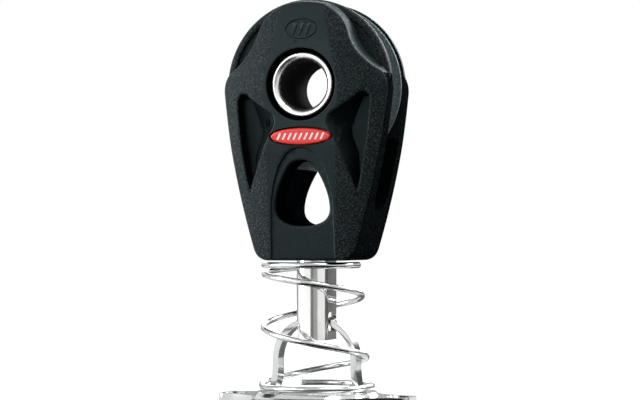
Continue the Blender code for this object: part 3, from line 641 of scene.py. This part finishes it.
def make_sheave():
    """The wheel: rounded flanges, a deep rope groove and the balls' tracks inside."""
    half, lip, radius = SHEAVE_HALF_WIDTH, GROOVE_HALF_WIDTH, SHEAVE_RADIUS
    depth = radius - GROOVE_RADIUS
    sweep = (lip ** 2 + depth ** 2) / (2 * depth)
    centre = GROOVE_RADIUS + sweep
    half_angle = math.degrees(math.atan2(lip, centre - radius)) - 3
    groove = arc((centre, 0), sweep, 180 - half_angle, 180 + half_angle, 40)
    front_rim = arc((radius - 0.2, half - 0.2), 0.2, 90, 0, 5) + [(radius - 0.08, lip + 0.06)]
    rear_rim = [(r, -d) for r, d in reversed(front_rim)]
    tracks = [
        point for row in (-BALL_ROW, BALL_ROW)
        for point in arc((BALL_TRACK_CENTRE, row), BALL_TRACK_RADIUS, -60, 60, 12)]
    bore = tracks[0][0]
    profile = front_rim + groove + rear_rim + [(bore, -half)] + tracks + [(bore, half)]
    return turned("grooved_sheave", profile, BACK_OF_HUB, 192)


def spring_point(turns):
    """The wire's centre in millimetres, from the closed top ring to the closed foot ring."""
    def run(begin, end):
        """Turns of full pitch up to here, with a pitch that grows from begin to end."""
        if turns <= begin:
            return 0.0
        if turns < end:
            return (turns - begin) ** 2 / (2 * (end - begin))
        return turns - (begin + end) / 2
    opens, closes = (0.5, 1.6), (2.9, 3.15)
    fallen = (run(*opens) - run(*closes)) / ((sum(closes) - sum(opens)) / 2)
    share = max(turns - WIRE_START, 0) / (WIRE_END - WIRE_START)
    radius = TOP_COIL_RADIUS + COIL_SPREAD * share ** 1.5
    shift = -TOP_COIL_SHIFT * (1 - share)
    angle = math.pi + 2 * math.pi * turns
    height = TOP_COIL_HEIGHT + (FOOT_COIL_HEIGHT - TOP_COIL_HEIGHT) * fallen
    return Vector((shift + radius * math.cos(angle), radius * math.sin(angle), height))


def make_spring_half(name, start, end):
    """A stretch of the spring's round wire, as a tube whose ring of corners follows the coil."""
    steps = round((end - start) * 120)
    sides = 20
    points, faces = [], []
    for step in range(steps + 1):
        turns = start + (end - start) * step / steps
        here = spring_point(turns)
        along = (spring_point(turns + 0.001) - spring_point(turns - 0.001)).normalized()
        outward_way = Vector((here.x, here.y, 0)).normalized()
        across = along.cross(outward_way).normalized()
        out = across.cross(along)
        for side in range(sides):
            t = 2 * math.pi * side / sides
            points.append((here + WIRE_RADIUS * (math.cos(t) * out + math.sin(t) * across)) * MM)
    for low in range(0, steps * sides, sides):
        high = low + sides
        for side in range(sides):
            following = (side + 1) % sides
            faces.append((low + side, low + following, high + following, high + side))
    if start == WIRE_START:
        faces.append(tuple(range(sides)))
    if end == WIRE_END:
        faces.append(tuple(range(steps * sides, (steps + 1) * sides)))
    return outward(new_piece(name, mesh_of(name, points, faces)))


def make_post():
    """The folded channel: a round nose, straight legs, an open back and the bail's eye."""
    outer, inner, nose = POST_HALF, POST_HALF - POST_SHEET, (0, -POST_NOSE)
    plan = (
        [(outer, POST_BACK)] + arc(nose, outer, 0, -180, 64) + [(-outer, POST_BACK)]
        + [(-inner, POST_BACK)] + arc(nose, inner, -180, 0, 48) + [(inner, POST_BACK)])
    post = extruded("folded_post", [plan], BASE_THICKNESS + 9.9, BLOCK_BOTTOM + 4.6, FACING_UP)
    low, high, half, corner = BASE_THICKNESS + 11.6, BASE_THICKNESS + 15.2, 2.25, 0.9
    eye = []
    for side, level, start in ((1, high, 0), (-1, high, 90), (-1, low, 180), (1, low, 270)):
        inward = -corner if level == high else corner
        eye += arc((side * (half - corner), level + inward), corner, start, start + 90, 8)
    combine(post, extruded("eye_shape", [eye], -8, 8, FACING_RIGHT))
    break_edges(post, 0.16, 50, 3)
    return post


def make_bail():
    """The arched strip with its feet spread into the plate."""
    outer, inner, foot = BAIL_OUTER_RADIUS, BAIL_INNER_RADIUS, 9.3
    foot_inside = foot - (outer - inner)
    hip, seat, toe = 7.0, BASE_THICKNESS, 0.5
    spread = bend((outer, hip), (outer, (hip + seat) / 2), (foot, seat), 10)
    tuck = bend((foot_inside, seat), (inner, (hip + seat) / 2), (inner, hip), 10)
    right = (
        arc((0, BAIL_CENTRE), outer, 90, 0, 40) + spread + [(foot, toe), (foot_inside, toe)] + tuck)
    under = arc((0, BAIL_CENTRE), inner, 0, 180, 80)
    left = [(-x, z) for x, z in reversed(right)][:-1]
    bail = extruded(
        "arched_bail", [right + under + left], -BAIL_HALF_DEPTH, BAIL_HALF_DEPTH, FACING_FRONT)
    break_edges(bail, 0.3, 60, 4)
    return bail


def base_outline():
    """Plan of the foot: a round land for the spring between two squared ears."""
    end, depth = BASE_HALF_LENGTH, EAR_END_HALF_DEPTH
    round_right = arc((0, 0), LAND_RADIUS, 90, 28, 32)
    corner = bend((end - EAR_CORNER, depth), (end, depth), (end, depth - EAR_CORNER), 10)
    quarter = round_right + [(end - 4.0, EAR_HALF_DEPTH)] + corner
    right = quarter + [(x, -y) for x, y in reversed(quarter)]
    return right + [(-x, -y) for x, y in right[1:-1]]


def make_base_plate():
    """The pressed foot with its raised land, countersunk screw holes and the bail's slots."""
    plate = extruded("pressed_foot", [base_outline()], 0, EAR_TOP, FACING_UP)
    break_edges(plate, BASE_EDGE_ROUND, 50, 4)
    brim = LAND_RADIUS - BASE_EDGE_ROUND
    shoulder = arc((brim - 1.2, BASE_THICKNESS - 0.5), 0.5, 90, 45, 4)
    profile = [(0, BASE_THICKNESS)] + shoulder + [(brim, 1.5), (brim, 1.2), (0, 1.2)]
    combine(plate, turned_solid("land_shape", profile, FACING_UP, 192), "UNION")
    profile = [(0, 4.1), (4.0, 4.1), (2.3, EAR_TOP), (1.7, 1.2), (1.7, -2.5), (0, -2.5)]
    for side in (1, -1):
        place = Matrix.Translation((side * SCREW_PLACE * MM, 0, 0))
        combine(plate, turned_solid("hole_shape", profile, place, 64))
    for side in (1, -1):
        slot = [
            (side * SLOT_PLACE + x * SLOT_HALF_LENGTH, y * SLOT_HALF_DEPTH)
            for x, y in ((-1, -1), (1, -1), (1, 1), (-1, 1))]
        combine(plate, extruded("slot_shape", [slot], -1, 4, FACING_UP))
    return plate


def turned_solid(name, profile, place, steps):
    """A solid turned from a profile whose ends lie on the axis."""
    form = bmesh.new()
    corners = [form.verts.new((r * MM, 0, d * MM)) for r, d in profile]
    for near, far in zip(corners, corners[1:]):
        form.edges.new((near, far))
    bmesh.ops.spin(
        form, geom=form.verts[:] + form.edges[:], cent=(0, 0, 0), axis=(0, 0, 1),
        angle=2 * math.pi, steps=steps, use_merge=True)
    mesh = bpy.data.meshes.new(name)
    form.to_mesh(mesh)
    form.free()
    piece = outward(new_piece(name, mesh))
    piece.data.transform(place)
    return piece


def rope_twist():
    """The badge's plain motif: a row of slanted strands, like a twisted rope."""
    strand = rounded(spaced([(-0.5, -0.62), (-0.12, -0.66), (0.5, 0.62), (0.12, 0.66)], 0.4), 1)
    return [
        [(number * 1.08 + x, BADGE_HEIGHT + z) for x, z in strand] for number in range(-4, 5)]


def make_badge():
    """A slightly crowned oval inlay, and the numbers of the faces that show its motif."""
    loops = [badge_oval(-d) for d in (0.0, 0.05, 0.12, 0.22, 0.35, 0.6)]
    strands = rope_twist()
    fill = [(float(x), BADGE_HEIGHT + z) for x in np.arange(-5.4, 5.5, 0.6) for z in (-0.8, 0.8)]
    corners, triangles = flat_mesh(loops + strands, [], fill)
    fall = 0.25 / BADGE_ROUND * round_over(distance_inside(corners, loops[0]), BADGE_ROUND)
    crowned = 0.03 * np.clip(1 - (corners[:, 0] / BADGE_HALF_WIDTH) ** 2, 0, 1)
    outer = CROWN - 0.03 - fall + crowned
    inner = np.full(len(corners), CROWN - 0.8)
    badge = relief_piece("badge_inlay", corners, triangles, outer, inner, FRONT_OF_HUB)
    middle = corners[triangles].mean(axis=1)
    on_motif = np.any([distance_inside(middle, strand) > 0 for strand in strands], axis=0)
    return badge, [int(number) for number in np.nonzero(on_motif)[0]]


# Finishes

def node_group(name, inputs, outputs):
    """An empty shader group with named values going in and out."""
    group = bpy.data.node_groups.new(name, "ShaderNodeTree")
    kind = "NodeSocketFloat"
    for label, default in inputs:
        socket = group.interface.new_socket(name=label, in_out="INPUT", socket_type=kind)
        socket.default_value = default
    for label in outputs:
        group.interface.new_socket(name=label, in_out="OUTPUT", socket_type=kind)
    return group, group.nodes.new("NodeGroupInput"), group.nodes.new("NodeGroupOutput")


def feed(tree, value, socket):
    """Sets a socket to a plain number, or links another node's output to it."""
    if isinstance(value, float):
        socket.default_value = value
    else:
        tree.links.new(value, socket)


def maths(tree, operation, *values):
    node = tree.nodes.new("ShaderNodeMath")
    node.operation = operation
    for value, socket in zip(values, node.inputs):
        feed(tree, value, socket)
    return node.outputs[0]


def remap(tree, source, low, high, to_low, to_high):
    node = tree.nodes.new("ShaderNodeMapRange")
    labels = ("Value", "From Min", "From Max", "To Min", "To Max")
    for label, value in zip(labels, (source, low, high, to_low, to_high)):
        feed(tree, value, node.inputs[label])
    return node.outputs["Result"]


def scaled_noise(tree, scale_socket, factor, detail, stretch=(1, 1, 1)):
    """Noise on the piece's own coordinates at a size that follows a group input."""
    place = tree.nodes.new("ShaderNodeTexCoord")
    mapping = tree.nodes.new("ShaderNodeMapping")
    mapping.inputs["Scale"].default_value = stretch
    tree.links.new(place.outputs["Object"], mapping.inputs["Vector"])
    noise = tree.nodes.new("ShaderNodeTexNoise")
    noise.inputs["Detail"].default_value = detail
    tree.links.new(mapping.outputs["Vector"], noise.inputs["Vector"])
    tree.links.new(maths(tree, "MULTIPLY", scale_socket, factor), noise.inputs["Scale"])
    return noise.outputs["Fac"]


def make_mould_grain():
    """Spark-eroded mould texture: a pebbled height, and a mask of single pebbles that get a painted
    glint.
    """
    group, into, out = node_group("Mould grain", [("Cells per metre", 2900.0)], ["Height", "Painted glint"])
    coarse = scaled_noise(group, into.outputs[0], 1.0, 3.0)
    fine = scaled_noise(group, into.outputs[0], 1.1, 1.0)
    group.links.new(maths(group, "MULTIPLY_ADD", fine, 0.45, coarse), out.inputs["Height"])
    group.links.new(remap(group, fine, 0.52, 0.62, 0.0, 1.0), out.inputs["Painted glint"])
    return group


def make_soft_mottle():
    """Broad cloudy change of sheen, as on any moulded or polished face."""
    group, into, out = node_group(
        "Soft mottle", [("Clouds per metre", 260.0), ("Low", 0.3), ("High", 0.5)], ["Value"])
    cloud = scaled_noise(group, into.outputs[0], 1.0, 4.0)
    sheen = remap(group, cloud, 0.3, 0.7, into.outputs["Low"], into.outputs["High"])
    group.links.new(sheen, out.inputs["Value"])
    return group


def make_drawn_lines():
    """Fine lines left by drawing and polishing, long along the piece's height."""
    group, into, out = node_group("Drawn lines", [("Lines per metre", 9000.0)], ["Height", "Worn"])
    lines = scaled_noise(group, into.outputs[0], 1.0, 2.0, (1, 1, 0.03))
    group.links.new(lines, out.inputs["Height"])
    group.links.new(remap(group, lines, 0.4, 0.75, 0.0, 1.0), out.inputs["Worn"])
    return group


MOULD_GRAIN = make_mould_grain()
SOFT_MOTTLE = make_soft_mottle()
DRAWN_LINES = make_drawn_lines()


def new_finish(name, colour, roughness, metallic=0.0):
    surface = bpy.data.materials.new(name)
    surface.use_nodes = True
    shader = surface.node_tree.nodes["Principled BSDF"]
    shader.inputs["Base Color"].default_value = (*colour, 1.0)
    shader.inputs["Roughness"].default_value = roughness
    shader.inputs["Metallic"].default_value = metallic
    return surface, surface.node_tree, shader


def placed(tree, group, **values):
    node = tree.nodes.new("ShaderNodeGroup")
    node.node_tree = group
    for label, value in values.items():
        node.inputs[label.replace("_", " ")].default_value = value
    return node


def bumped(tree, shader, height, depth):
    """Feeds a height, in metres, through a bump to the shader's normal."""
    bump = tree.nodes.new("ShaderNodeBump")
    bump.inputs["Strength"].default_value = 1.0
    bump.inputs["Distance"].default_value = depth
    tree.links.new(height, bump.inputs["Height"])
    tree.links.new(bump.outputs["Normal"], shader.inputs["Normal"])


def tinted(tree, shader, mask, low, high):
    """Base colour that changes between two colours with a mask."""
    mix = tree.nodes.new("ShaderNodeMix")
    mix.data_type = "RGBA"
    mix.inputs["A"].default_value = (*low, 1.0)
    mix.inputs["B"].default_value = (*high, 1.0)
    tree.links.new(mask, mix.inputs["Factor"])
    tree.links.new(mix.outputs["Result"], shader.inputs["Base Color"])


def clouded(tree, shader, clouds, low, high):
    """Roughness that drifts between two values over the surface."""
    mottle = placed(tree, SOFT_MOTTLE, Clouds_per_metre=clouds, Low=low, High=high)
    tree.links.new(mottle.outputs["Value"], shader.inputs["Roughness"])
    return mottle.outputs["Value"]


def nylon_finish(name, colour, painted_glint, depth, roughness, cells, level):
    """Glass-filled nylon, with its grain as deep as the mould's face makes it, and a painted glint
    in the colour of single pebbles.
    """
    surface, tree, shader = new_finish(name, colour, roughness[0])
    shader.inputs["Specular IOR Level"].default_value = level
    shader.inputs["Specular Tint"].default_value = (0.74, 0.97, 1.0, 1.0)
    grain = placed(tree, MOULD_GRAIN, Cells_per_metre=cells)
    # The grain's mask lifts single pebbles to a lighter colour: a painted glint.
    tinted(tree, shader, grain.outputs["Painted glint"], colour, painted_glint)
    clouded(tree, shader, 260.0, *roughness)
    bumped(tree, shader, grain.outputs["Height"], depth)
    return surface


def steel_finish(name, colour, roughness, depth=2e-6):
    """Stainless steel with fine drawn lines and a soft change of polish."""
    surface, tree, shader = new_finish(name, colour, roughness[0], 1.0)
    drawn = placed(tree, DRAWN_LINES, Lines_per_metre=9000.0)
    tinted(tree, shader, drawn.outputs["Worn"], colour, tuple(0.93 * c for c in colour))
    clouded(tree, shader, 420.0, *roughness)
    bumped(tree, shader, drawn.outputs["Height"], depth)
    return surface


def enamel_finish(name, colour, roughness):
    surface, tree, shader = new_finish(name, colour, roughness)
    clouds = clouded(tree, shader, 900.0, roughness - 0.05, roughness + 0.05)
    bumped(tree, shader, clouds, 1e-5)
    return surface


# Each nylon's colour between its pebbles and its painted glint colour on them, grain's depth,
# roughness, cells and gloss
GRAINED_NYLON = nylon_finish(
    "Grained nylon", (0.0003, 0.0008, 0.001), (0.036, 0.046, 0.051), 1.3e-4, (0.38, 0.48),
    cells=4000.0, level=0.13)
# A darker, dull nylon for the cheek's sides and underside: painted shade.
SIDE_SHADE_NYLON = nylon_finish(
    "Side nylon, painted shade", (0.0012, 0.002, 0.0024), (0.016, 0.020, 0.022), 6e-5, (0.5, 0.6),
    cells=4000.0, level=0.0)
SATIN_NYLON = nylon_finish(
    "Satin nylon", (0.0014, 0.0036, 0.0042), (0.007, 0.011, 0.012), 1.2e-5, (0.34, 0.44),
    cells=4300.0, level=0.19)
POCKET_NYLON = nylon_finish(
    "Pocket nylon", (0.0012, 0.0028, 0.0032), (0.005, 0.008, 0.009), 1e-5, (0.4, 0.5),
    cells=4300.0, level=0.13)
# A darker, dull nylon for the cheek's hollows: painted shade.
SUNK_SHADE_NYLON = nylon_finish(
    "Sunk nylon, painted shade", (0.0012, 0.0022, 0.0026), (0.003, 0.005, 0.0055), 1e-5, (0.5, 0.6),
    cells=4300.0, level=0.0)
# A lighter, glossier nylon for the up-facing walls: painted light.
WALL_LIGHT_NYLON = nylon_finish(
    "Wall nylon, painted light", (0.004, 0.0062, 0.007), (0.034, 0.040, 0.044), 1e-4, (0.44, 0.56),
    cells=4300.0, level=0.55)
SHEAVE_NYLON = nylon_finish(
    "Sheave nylon", (0.15, 0.18, 0.185), (0.29, 0.335, 0.35), 4e-5, (0.4, 0.5),
    cells=3000.0, level=0.4)
BORE_BLACK = nylon_finish(
    "Blackened bore", (0.03, 0.03, 0.03), (0.05, 0.05, 0.05), 4e-6, (0.3, 0.4),
    cells=3600.0, level=0.0)
POLISHED_STEEL = steel_finish("Polished stainless", (0.6, 0.61, 0.61), (0.09, 0.15))
POST_STEEL = steel_finish("Folded stainless", (0.84, 0.84, 0.83), (0.11, 0.17))
# A dark steel for the inside of the post's fold: painted shade.
SHADED_STEEL = steel_finish("Stainless, painted shade", (0.16, 0.16, 0.16), (0.3, 0.4))
ROLLED_STEEL = steel_finish("Rolled stainless", (0.88, 0.88, 0.87), (0.26, 0.3), 4e-7)
SPRING_WIRE = steel_finish("Spring wire", (0.54, 0.55, 0.55), (0.1, 0.16))
BADGE_ENAMEL = enamel_finish("Red enamel", (0.78, 0.012, 0.008), 0.28)
MOTIF_ENAMEL = enamel_finish("Pale enamel", (0.86, 0.84, 0.82), 0.32)
BALL_ACETAL = enamel_finish("Ball acetal", (0.75, 0.75, 0.71), 0.3)


# Assembly

def dress(piece, node, body, slot, *finishes):
    """Gives a piece its finishes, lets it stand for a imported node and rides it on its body."""
    piece.data.materials.clear()
    for finish in finishes:
        piece.data.materials.append(finish)
    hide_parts(node)
    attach(piece, body)


def finish_by_place(piece, test, finish):
    """Gives the faces that pass a test another of the piece's finishes.

    A test takes a face's distance to the side, its depth and its height above the hub, all in
    millimetres, and its normal.
    """
    number = piece.data.materials.find(finish.name)
    for face in piece.data.polygons:
        x, y, z = (value / MM for value in face.center)
        if test(abs(x), y, z - HUB_HEIGHT, face.normal):
            face.material_index = number


def on_facet(x, y, z, normal):
    return abs(y) > 4.0 and x > float(crease_half(z)) and math.hypot(x, z) > RECESS_RADIUS


def on_lit_wall(x, y, z, normal):
    """The raised panel's walls above the hub, where they face up; a lighter nylon on them is
    painted light.
    """
    on_rim = math.hypot(x, z) > DISC_RADIUS - 0.4
    faces_up = abs(normal.y) < 0.6 and normal.z > 0.1
    return abs(y) > CHEEK_INNER and faces_up and z > 1.5 and not on_rim


def in_sunk_shade(x, y, z, normal):
    """The inside of the cheek and of its window, and the recess round the tube, where a darker
    nylon without sheen is painted shade.
    """
    radius = math.hypot(x, z)
    faces_in = abs(y) < CHEEK_INNER + 0.01
    inside = faces_in and (radius < DISC_RADIUS - 0.6 or -27 < z < -10)
    in_window = x < 5.6 and -27 < z < -14 and abs(normal.y) < 0.5
    return inside or in_window or radius < RECESS_RADIUS


def in_side_shade(x, y, z, normal):
    """The cheek's tapered side walls and its underside, where a darker nylon without sheen is
    painted shade.
    """
    outside = x > 15.2 + 0.206 * z or z < -TAIL_LENGTH + 0.5
    return outside and z < 2 and abs(normal.y) < 0.6 and (normal.z <= 0.1 or x > 14.3)


def in_bore(x, y, z, normal):
    return math.hypot(x, z) < 4.7 and abs(y) < 7.5


def in_channel_shade(x, y, z, normal):
    """The inside of the post's fold, where a dark steel is painted shade."""
    inner = POST_HALF - POST_SHEET + 0.1
    inside = x < inner if y > -POST_NOSE else math.hypot(x, y + POST_NOSE) < inner
    return inside and abs(normal.z) < 0.5


def finish_pockets(piece, finish):
    """Gives the pockets' smooth floors and slopes their own finish."""
    faces = piece.data.polygons
    middles = np.array([(face.center.x / MM, face.center.z / MM - HUB_HEIGHT) for face in faces])
    outside = np.array([abs(face.center.y) / MM > 4.6 for face in faces])
    for brim_outline, _ in POCKETS:
        for number in np.nonzero(outside & (distance_inside(middles, brim_outline) > 0.02))[0]:
            faces[int(number)].material_index = piece.data.materials.find(finish.name)


for cheek_name, place, looks_front in (
        ("front_cheek", FRONT_OF_HUB, True), ("rear_cheek", BACK_OF_HUB, False)):
    cheek = make_cheek(f"{cheek_name}_moulding", place, looks_front)
    dress(
        cheek, cheek_name, "block", "nylon",
        SATIN_NYLON, GRAINED_NYLON, SUNK_SHADE_NYLON, WALL_LIGHT_NYLON, POCKET_NYLON, SIDE_SHADE_NYLON)
    finish_by_place(cheek, on_facet, GRAINED_NYLON)
    # Painted light on the panel's up-facing walls.
    finish_by_place(cheek, on_lit_wall, WALL_LIGHT_NYLON)
    # Painted shade on the cheek's inside, window and tube recess.
    finish_by_place(cheek, in_sunk_shade, SUNK_SHADE_NYLON)
    # Painted shade on the cheek's sides and underside.
    finish_by_place(cheek, in_side_shade, SIDE_SHADE_NYLON)
    finish_pockets(cheek, POCKET_NYLON)
    soften(cheek, 50)

hub = make_hub_ring()
dress(hub, "hub_tube", "block", "polished_steel", ROLLED_STEEL, BORE_BLACK)
finish_by_place(hub, in_bore, BORE_BLACK)
soften(hub, 60)

sheave = make_sheave()
dress(sheave, "sheave", "wheel", "sheave_plastic", SHEAVE_NYLON)
soften(sheave, 40)

badge, motif_faces = make_badge()
dress(badge, "badge", "block", "badge_red", BADGE_ENAMEL, MOTIF_ENAMEL)
for number in motif_faces:
    badge.data.polygons[number].material_index = 1
soften(badge, 50)

post = make_post()
dress(post, "post", "block", "polished_steel", POST_STEEL, SHADED_STEEL)
# Painted shade inside the post's fold.
finish_by_place(post, in_channel_shade, SHADED_STEEL)
soften(post, 40)

bail = make_bail()
dress(bail, "bail", "foot", "polished_steel", POLISHED_STEEL)
soften(bail, 40)

plate = make_base_plate()
dress(plate, "base_plate", "foot", "polished_steel", POLISHED_STEEL)
soften(plate, 35)

# The spring is one wire, made in two stretches that meet at the middle turn.
MIDDLE_HEIGHT = spring_point(MIDDLE_TURN).z
lower_coil = make_spring_half("spring_lower_turns", MIDDLE_TURN, WIRE_END)
upper_coil = make_spring_half("spring_upper_turns", WIRE_START, MIDDLE_TURN)
for coil in (lower_coil, upper_coil):
    coil.data.materials.append(SPRING_WIRE)
    soften(coil, 60)
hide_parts("spring")
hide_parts("spring")
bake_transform(lower_coil)
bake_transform(upper_coil)

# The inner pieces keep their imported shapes
INNER_FINISHES = (
    ("ball_", BALL_ACETAL), ("inner_race", SHEAVE_NYLON), ("post_pin", POLISHED_STEEL))
for node_name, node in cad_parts.items():
    for start, finish in INNER_FINISHES:
        if node_name.startswith(start):
            for material_slot in node.material_slots:
                material_slot.material = finish


# Camera, light and ground

def beside(side, distance, height):
    """A place at an angle to the right of the camera, seen from the block."""
    around = math.radians(CAMERA_TURN + side)
    return (distance * math.sin(around), -distance * math.cos(around), height)


def turn_to(aim, place, axis):
    """The turn that points one of an object's axes at its aim."""
    return (Vector(aim) - Vector(place)).to_track_quat(axis, "Y").to_euler()


def make_camera():
    """The fitted camera: level, a little to the right of the axle."""
    camera = new_piece("Camera", bpy.data.cameras.new("Camera"))
    camera.location = beside(0, CAMERA_DISTANCE, CAMERA_HEIGHT)
    camera.rotation_euler = (math.radians(90), 0, math.radians(CAMERA_TURN))
    camera.data.sensor_width = 36
    camera.data.lens = 111.15
    camera.data.shift_x = 3.1 / PHOTO_WIDTH
    camera.data.shift_y = 40 / PHOTO_WIDTH
    camera.data.clip_start = 0.01
    bpy.context.scene.camera = camera


def area_light(name, place, aim, size, power):
    lamp = bpy.data.lights.new(name, "AREA")
    lamp.shape = "RECTANGLE"
    lamp.size, lamp.size_y = size
    lamp.energy = power
    light = new_piece(name, lamp)
    light.location = place
    light.rotation_euler = turn_to(aim, place, "-Z")
    light.visible_camera = False


def background_rays(tree):
    """A mask that is 1 for what is seen by the camera, in a reflection or through glass."""
    rays = tree.nodes.new("ShaderNodeLightPath").outputs
    bounced = maths(tree, "MAXIMUM", rays["Is Glossy Ray"], rays["Is Transmission Ray"])
    return maths(tree, "MAXIMUM", rays["Is Camera Ray"], bounced)


def make_world(ambient):
    """A white surround that lights the block only a little."""
    world = bpy.data.worlds.new("Studio")
    bpy.context.scene.world = world
    world.use_nodes = True
    tree = world.node_tree
    mix = tree.nodes.new("ShaderNodeMixShader")
    soft, white = tree.nodes["Background"], tree.nodes.new("ShaderNodeBackground")
    for number, node, strength in ((1, soft, ambient), (2, white, 1.0)):
        node.inputs["Color"].default_value = (1, 1, 1, 1)
        node.inputs["Strength"].default_value = strength
        tree.links.new(node.outputs[0], mix.inputs[number])
    tree.links.new(background_rays(tree), mix.inputs[0])
    tree.links.new(mix.outputs[0], tree.nodes["World Output"].inputs["Surface"])


def flat_sheet(name, half):
    """A square sheet, lying flat."""
    corners = [(-half, -half, 0), (half, -half, 0), (half, half, 0), (-half, half, 0)]
    return new_piece(name, mesh_of(name, corners, [(0, 1, 2, 3)]))


def make_floor():
    """A pale floor that turns into the white background and keeps a faint shadow near the foot."""
    floor = flat_sheet("Floor", 3.0)
    floor.location.z = -0.0001
    surface, tree, shader = new_finish("Pale floor", (0.25, 0.25, 0.25), 0.9)
    shader.inputs["Specular IOR Level"].default_value = 0.0
    place = tree.nodes.new("ShaderNodeTexCoord")
    away = tree.nodes.new("ShaderNodeVectorMath")
    away.operation = "LENGTH"
    tree.links.new(place.outputs["Object"], away.inputs[0])
    glow = tree.nodes.new("ShaderNodeEmission")
    tree.links.new(remap(tree, away.outputs["Value"], 0.06, 0.3, 0.8, 1.0), glow.inputs["Strength"])
    dark = tree.nodes.new("ShaderNodeEmission")
    dark.inputs["Strength"].default_value = 0.0
    shown = tree.nodes.new("ShaderNodeMixShader")
    tree.links.new(background_rays(tree), shown.inputs[0])
    tree.links.new(dark.outputs[0], shown.inputs[1])
    tree.links.new(glow.outputs[0], shown.inputs[2])
    both = tree.nodes.new("ShaderNodeAddShader")
    tree.links.new(shader.outputs[0], both.inputs[0])
    tree.links.new(shown.outputs[0], both.inputs[1])
    tree.links.new(both.outputs[0], tree.nodes["Material Output"].inputs["Surface"])
    floor.data.materials.append(surface)


def flag(name, place, aim, size, level):
    """A card, dark or pale, that only reflections see."""
    card = flat_sheet(name, 0.5)
    card.location = place
    card.rotation_euler = turn_to(aim, place, "Z")
    card.scale = (*size, 1)
    surface = bpy.data.materials.new(name)
    surface.use_nodes = True
    tree = surface.node_tree
    tree.nodes.remove(tree.nodes["Principled BSDF"])
    glow = tree.nodes.new("ShaderNodeEmission")
    glow.inputs["Strength"].default_value = level
    tree.links.new(glow.outputs[0], tree.nodes["Material Output"].inputs["Surface"])
    card.data.materials.append(surface)
    card.visible_camera = card.visible_diffuse = False
    card.visible_shadow = card.visible_transmission = False


# Where each low card begins and ends, in degrees to the right of the camera, and how pale it is
LOW_CARDS = (
    (-179, -131, 0.35), (-131, -90, 1.0), (-17, 3, 0.2), (3, 31, 0.42), (31, 93, 1.0),
    (93, 142, 0.1), (142, 176, 0.45))


def low_cards():
    """Cards round the foot that put the pale and dark bands on the post and the wires."""
    middle_height = LOW_CARD_HEIGHT / 2
    for start, end, level in LOW_CARDS:
        width = 2 * LOW_CARD_DISTANCE * math.tan(math.radians((end - start) / 2))
        place = beside((start + end) / 2, LOW_CARD_DISTANCE, middle_height)
        flag("Low card", place, (0, 0, middle_height), (width, LOW_CARD_HEIGHT), level)


make_camera()
make_world(0.1)
make_floor()
area_light("Key softbox", beside(-70, 0.60, 0.34), MIDDLE, (0.40, 0.40), 2.1)
area_light("Left softbox", beside(-88, 0.55, 0.02), MIDDLE, (0.30, 0.2), 3.2)
area_light("Top softbox", beside(60, 0.26, 0.62), (0, 0, 0.06), (0.3, 0.3), 2.5)
area_light("Right softbox", beside(110, 0.55, 0.44), (0, 0, 0.06), (0.3, 0.3), 4.0)
area_light("Back softbox", beside(168, 0.55, 0.24), MIDDLE, (0.5, 0.2), 1.2)
area_light("Front softbox", beside(-38, 0.5, 0.15), (0, 0, 0.035), (0.2, 0.12), 0.3)
flag("Front flag", beside(23, 0.45, 0.04), MIDDLE, (0.42, 0.14), 0.22)
flag("Low front flag", beside(40, 0.25, 0.002), beside(40, 0.25, 1.0), (0.36, 0.3), 0.02)
flag("Edge flag", beside(122, 0.45, 0.02), MIDDLE, (0.09, 0.14), 0.04)
flag("Side flag", beside(147, 0.45, 0.03), MIDDLE, (0.24, 0.12), 0.28)
flag("Ground flag", beside(18, 0.08, 0.001), beside(18, 0.08, 1.0), (0.12, 0.12), 0.02)
flag("Behind flag", beside(160, 0.078, 0.001), beside(160, 0.078, 1.0), (0.05, 0.10), 0.2)
low_cards()
flag("Back ceiling flag", beside(185, 0.5, 0.5), MIDDLE, (0.9, 0.3), 0.05)

bpy.context.scene.view_settings.view_transform = "Standard"
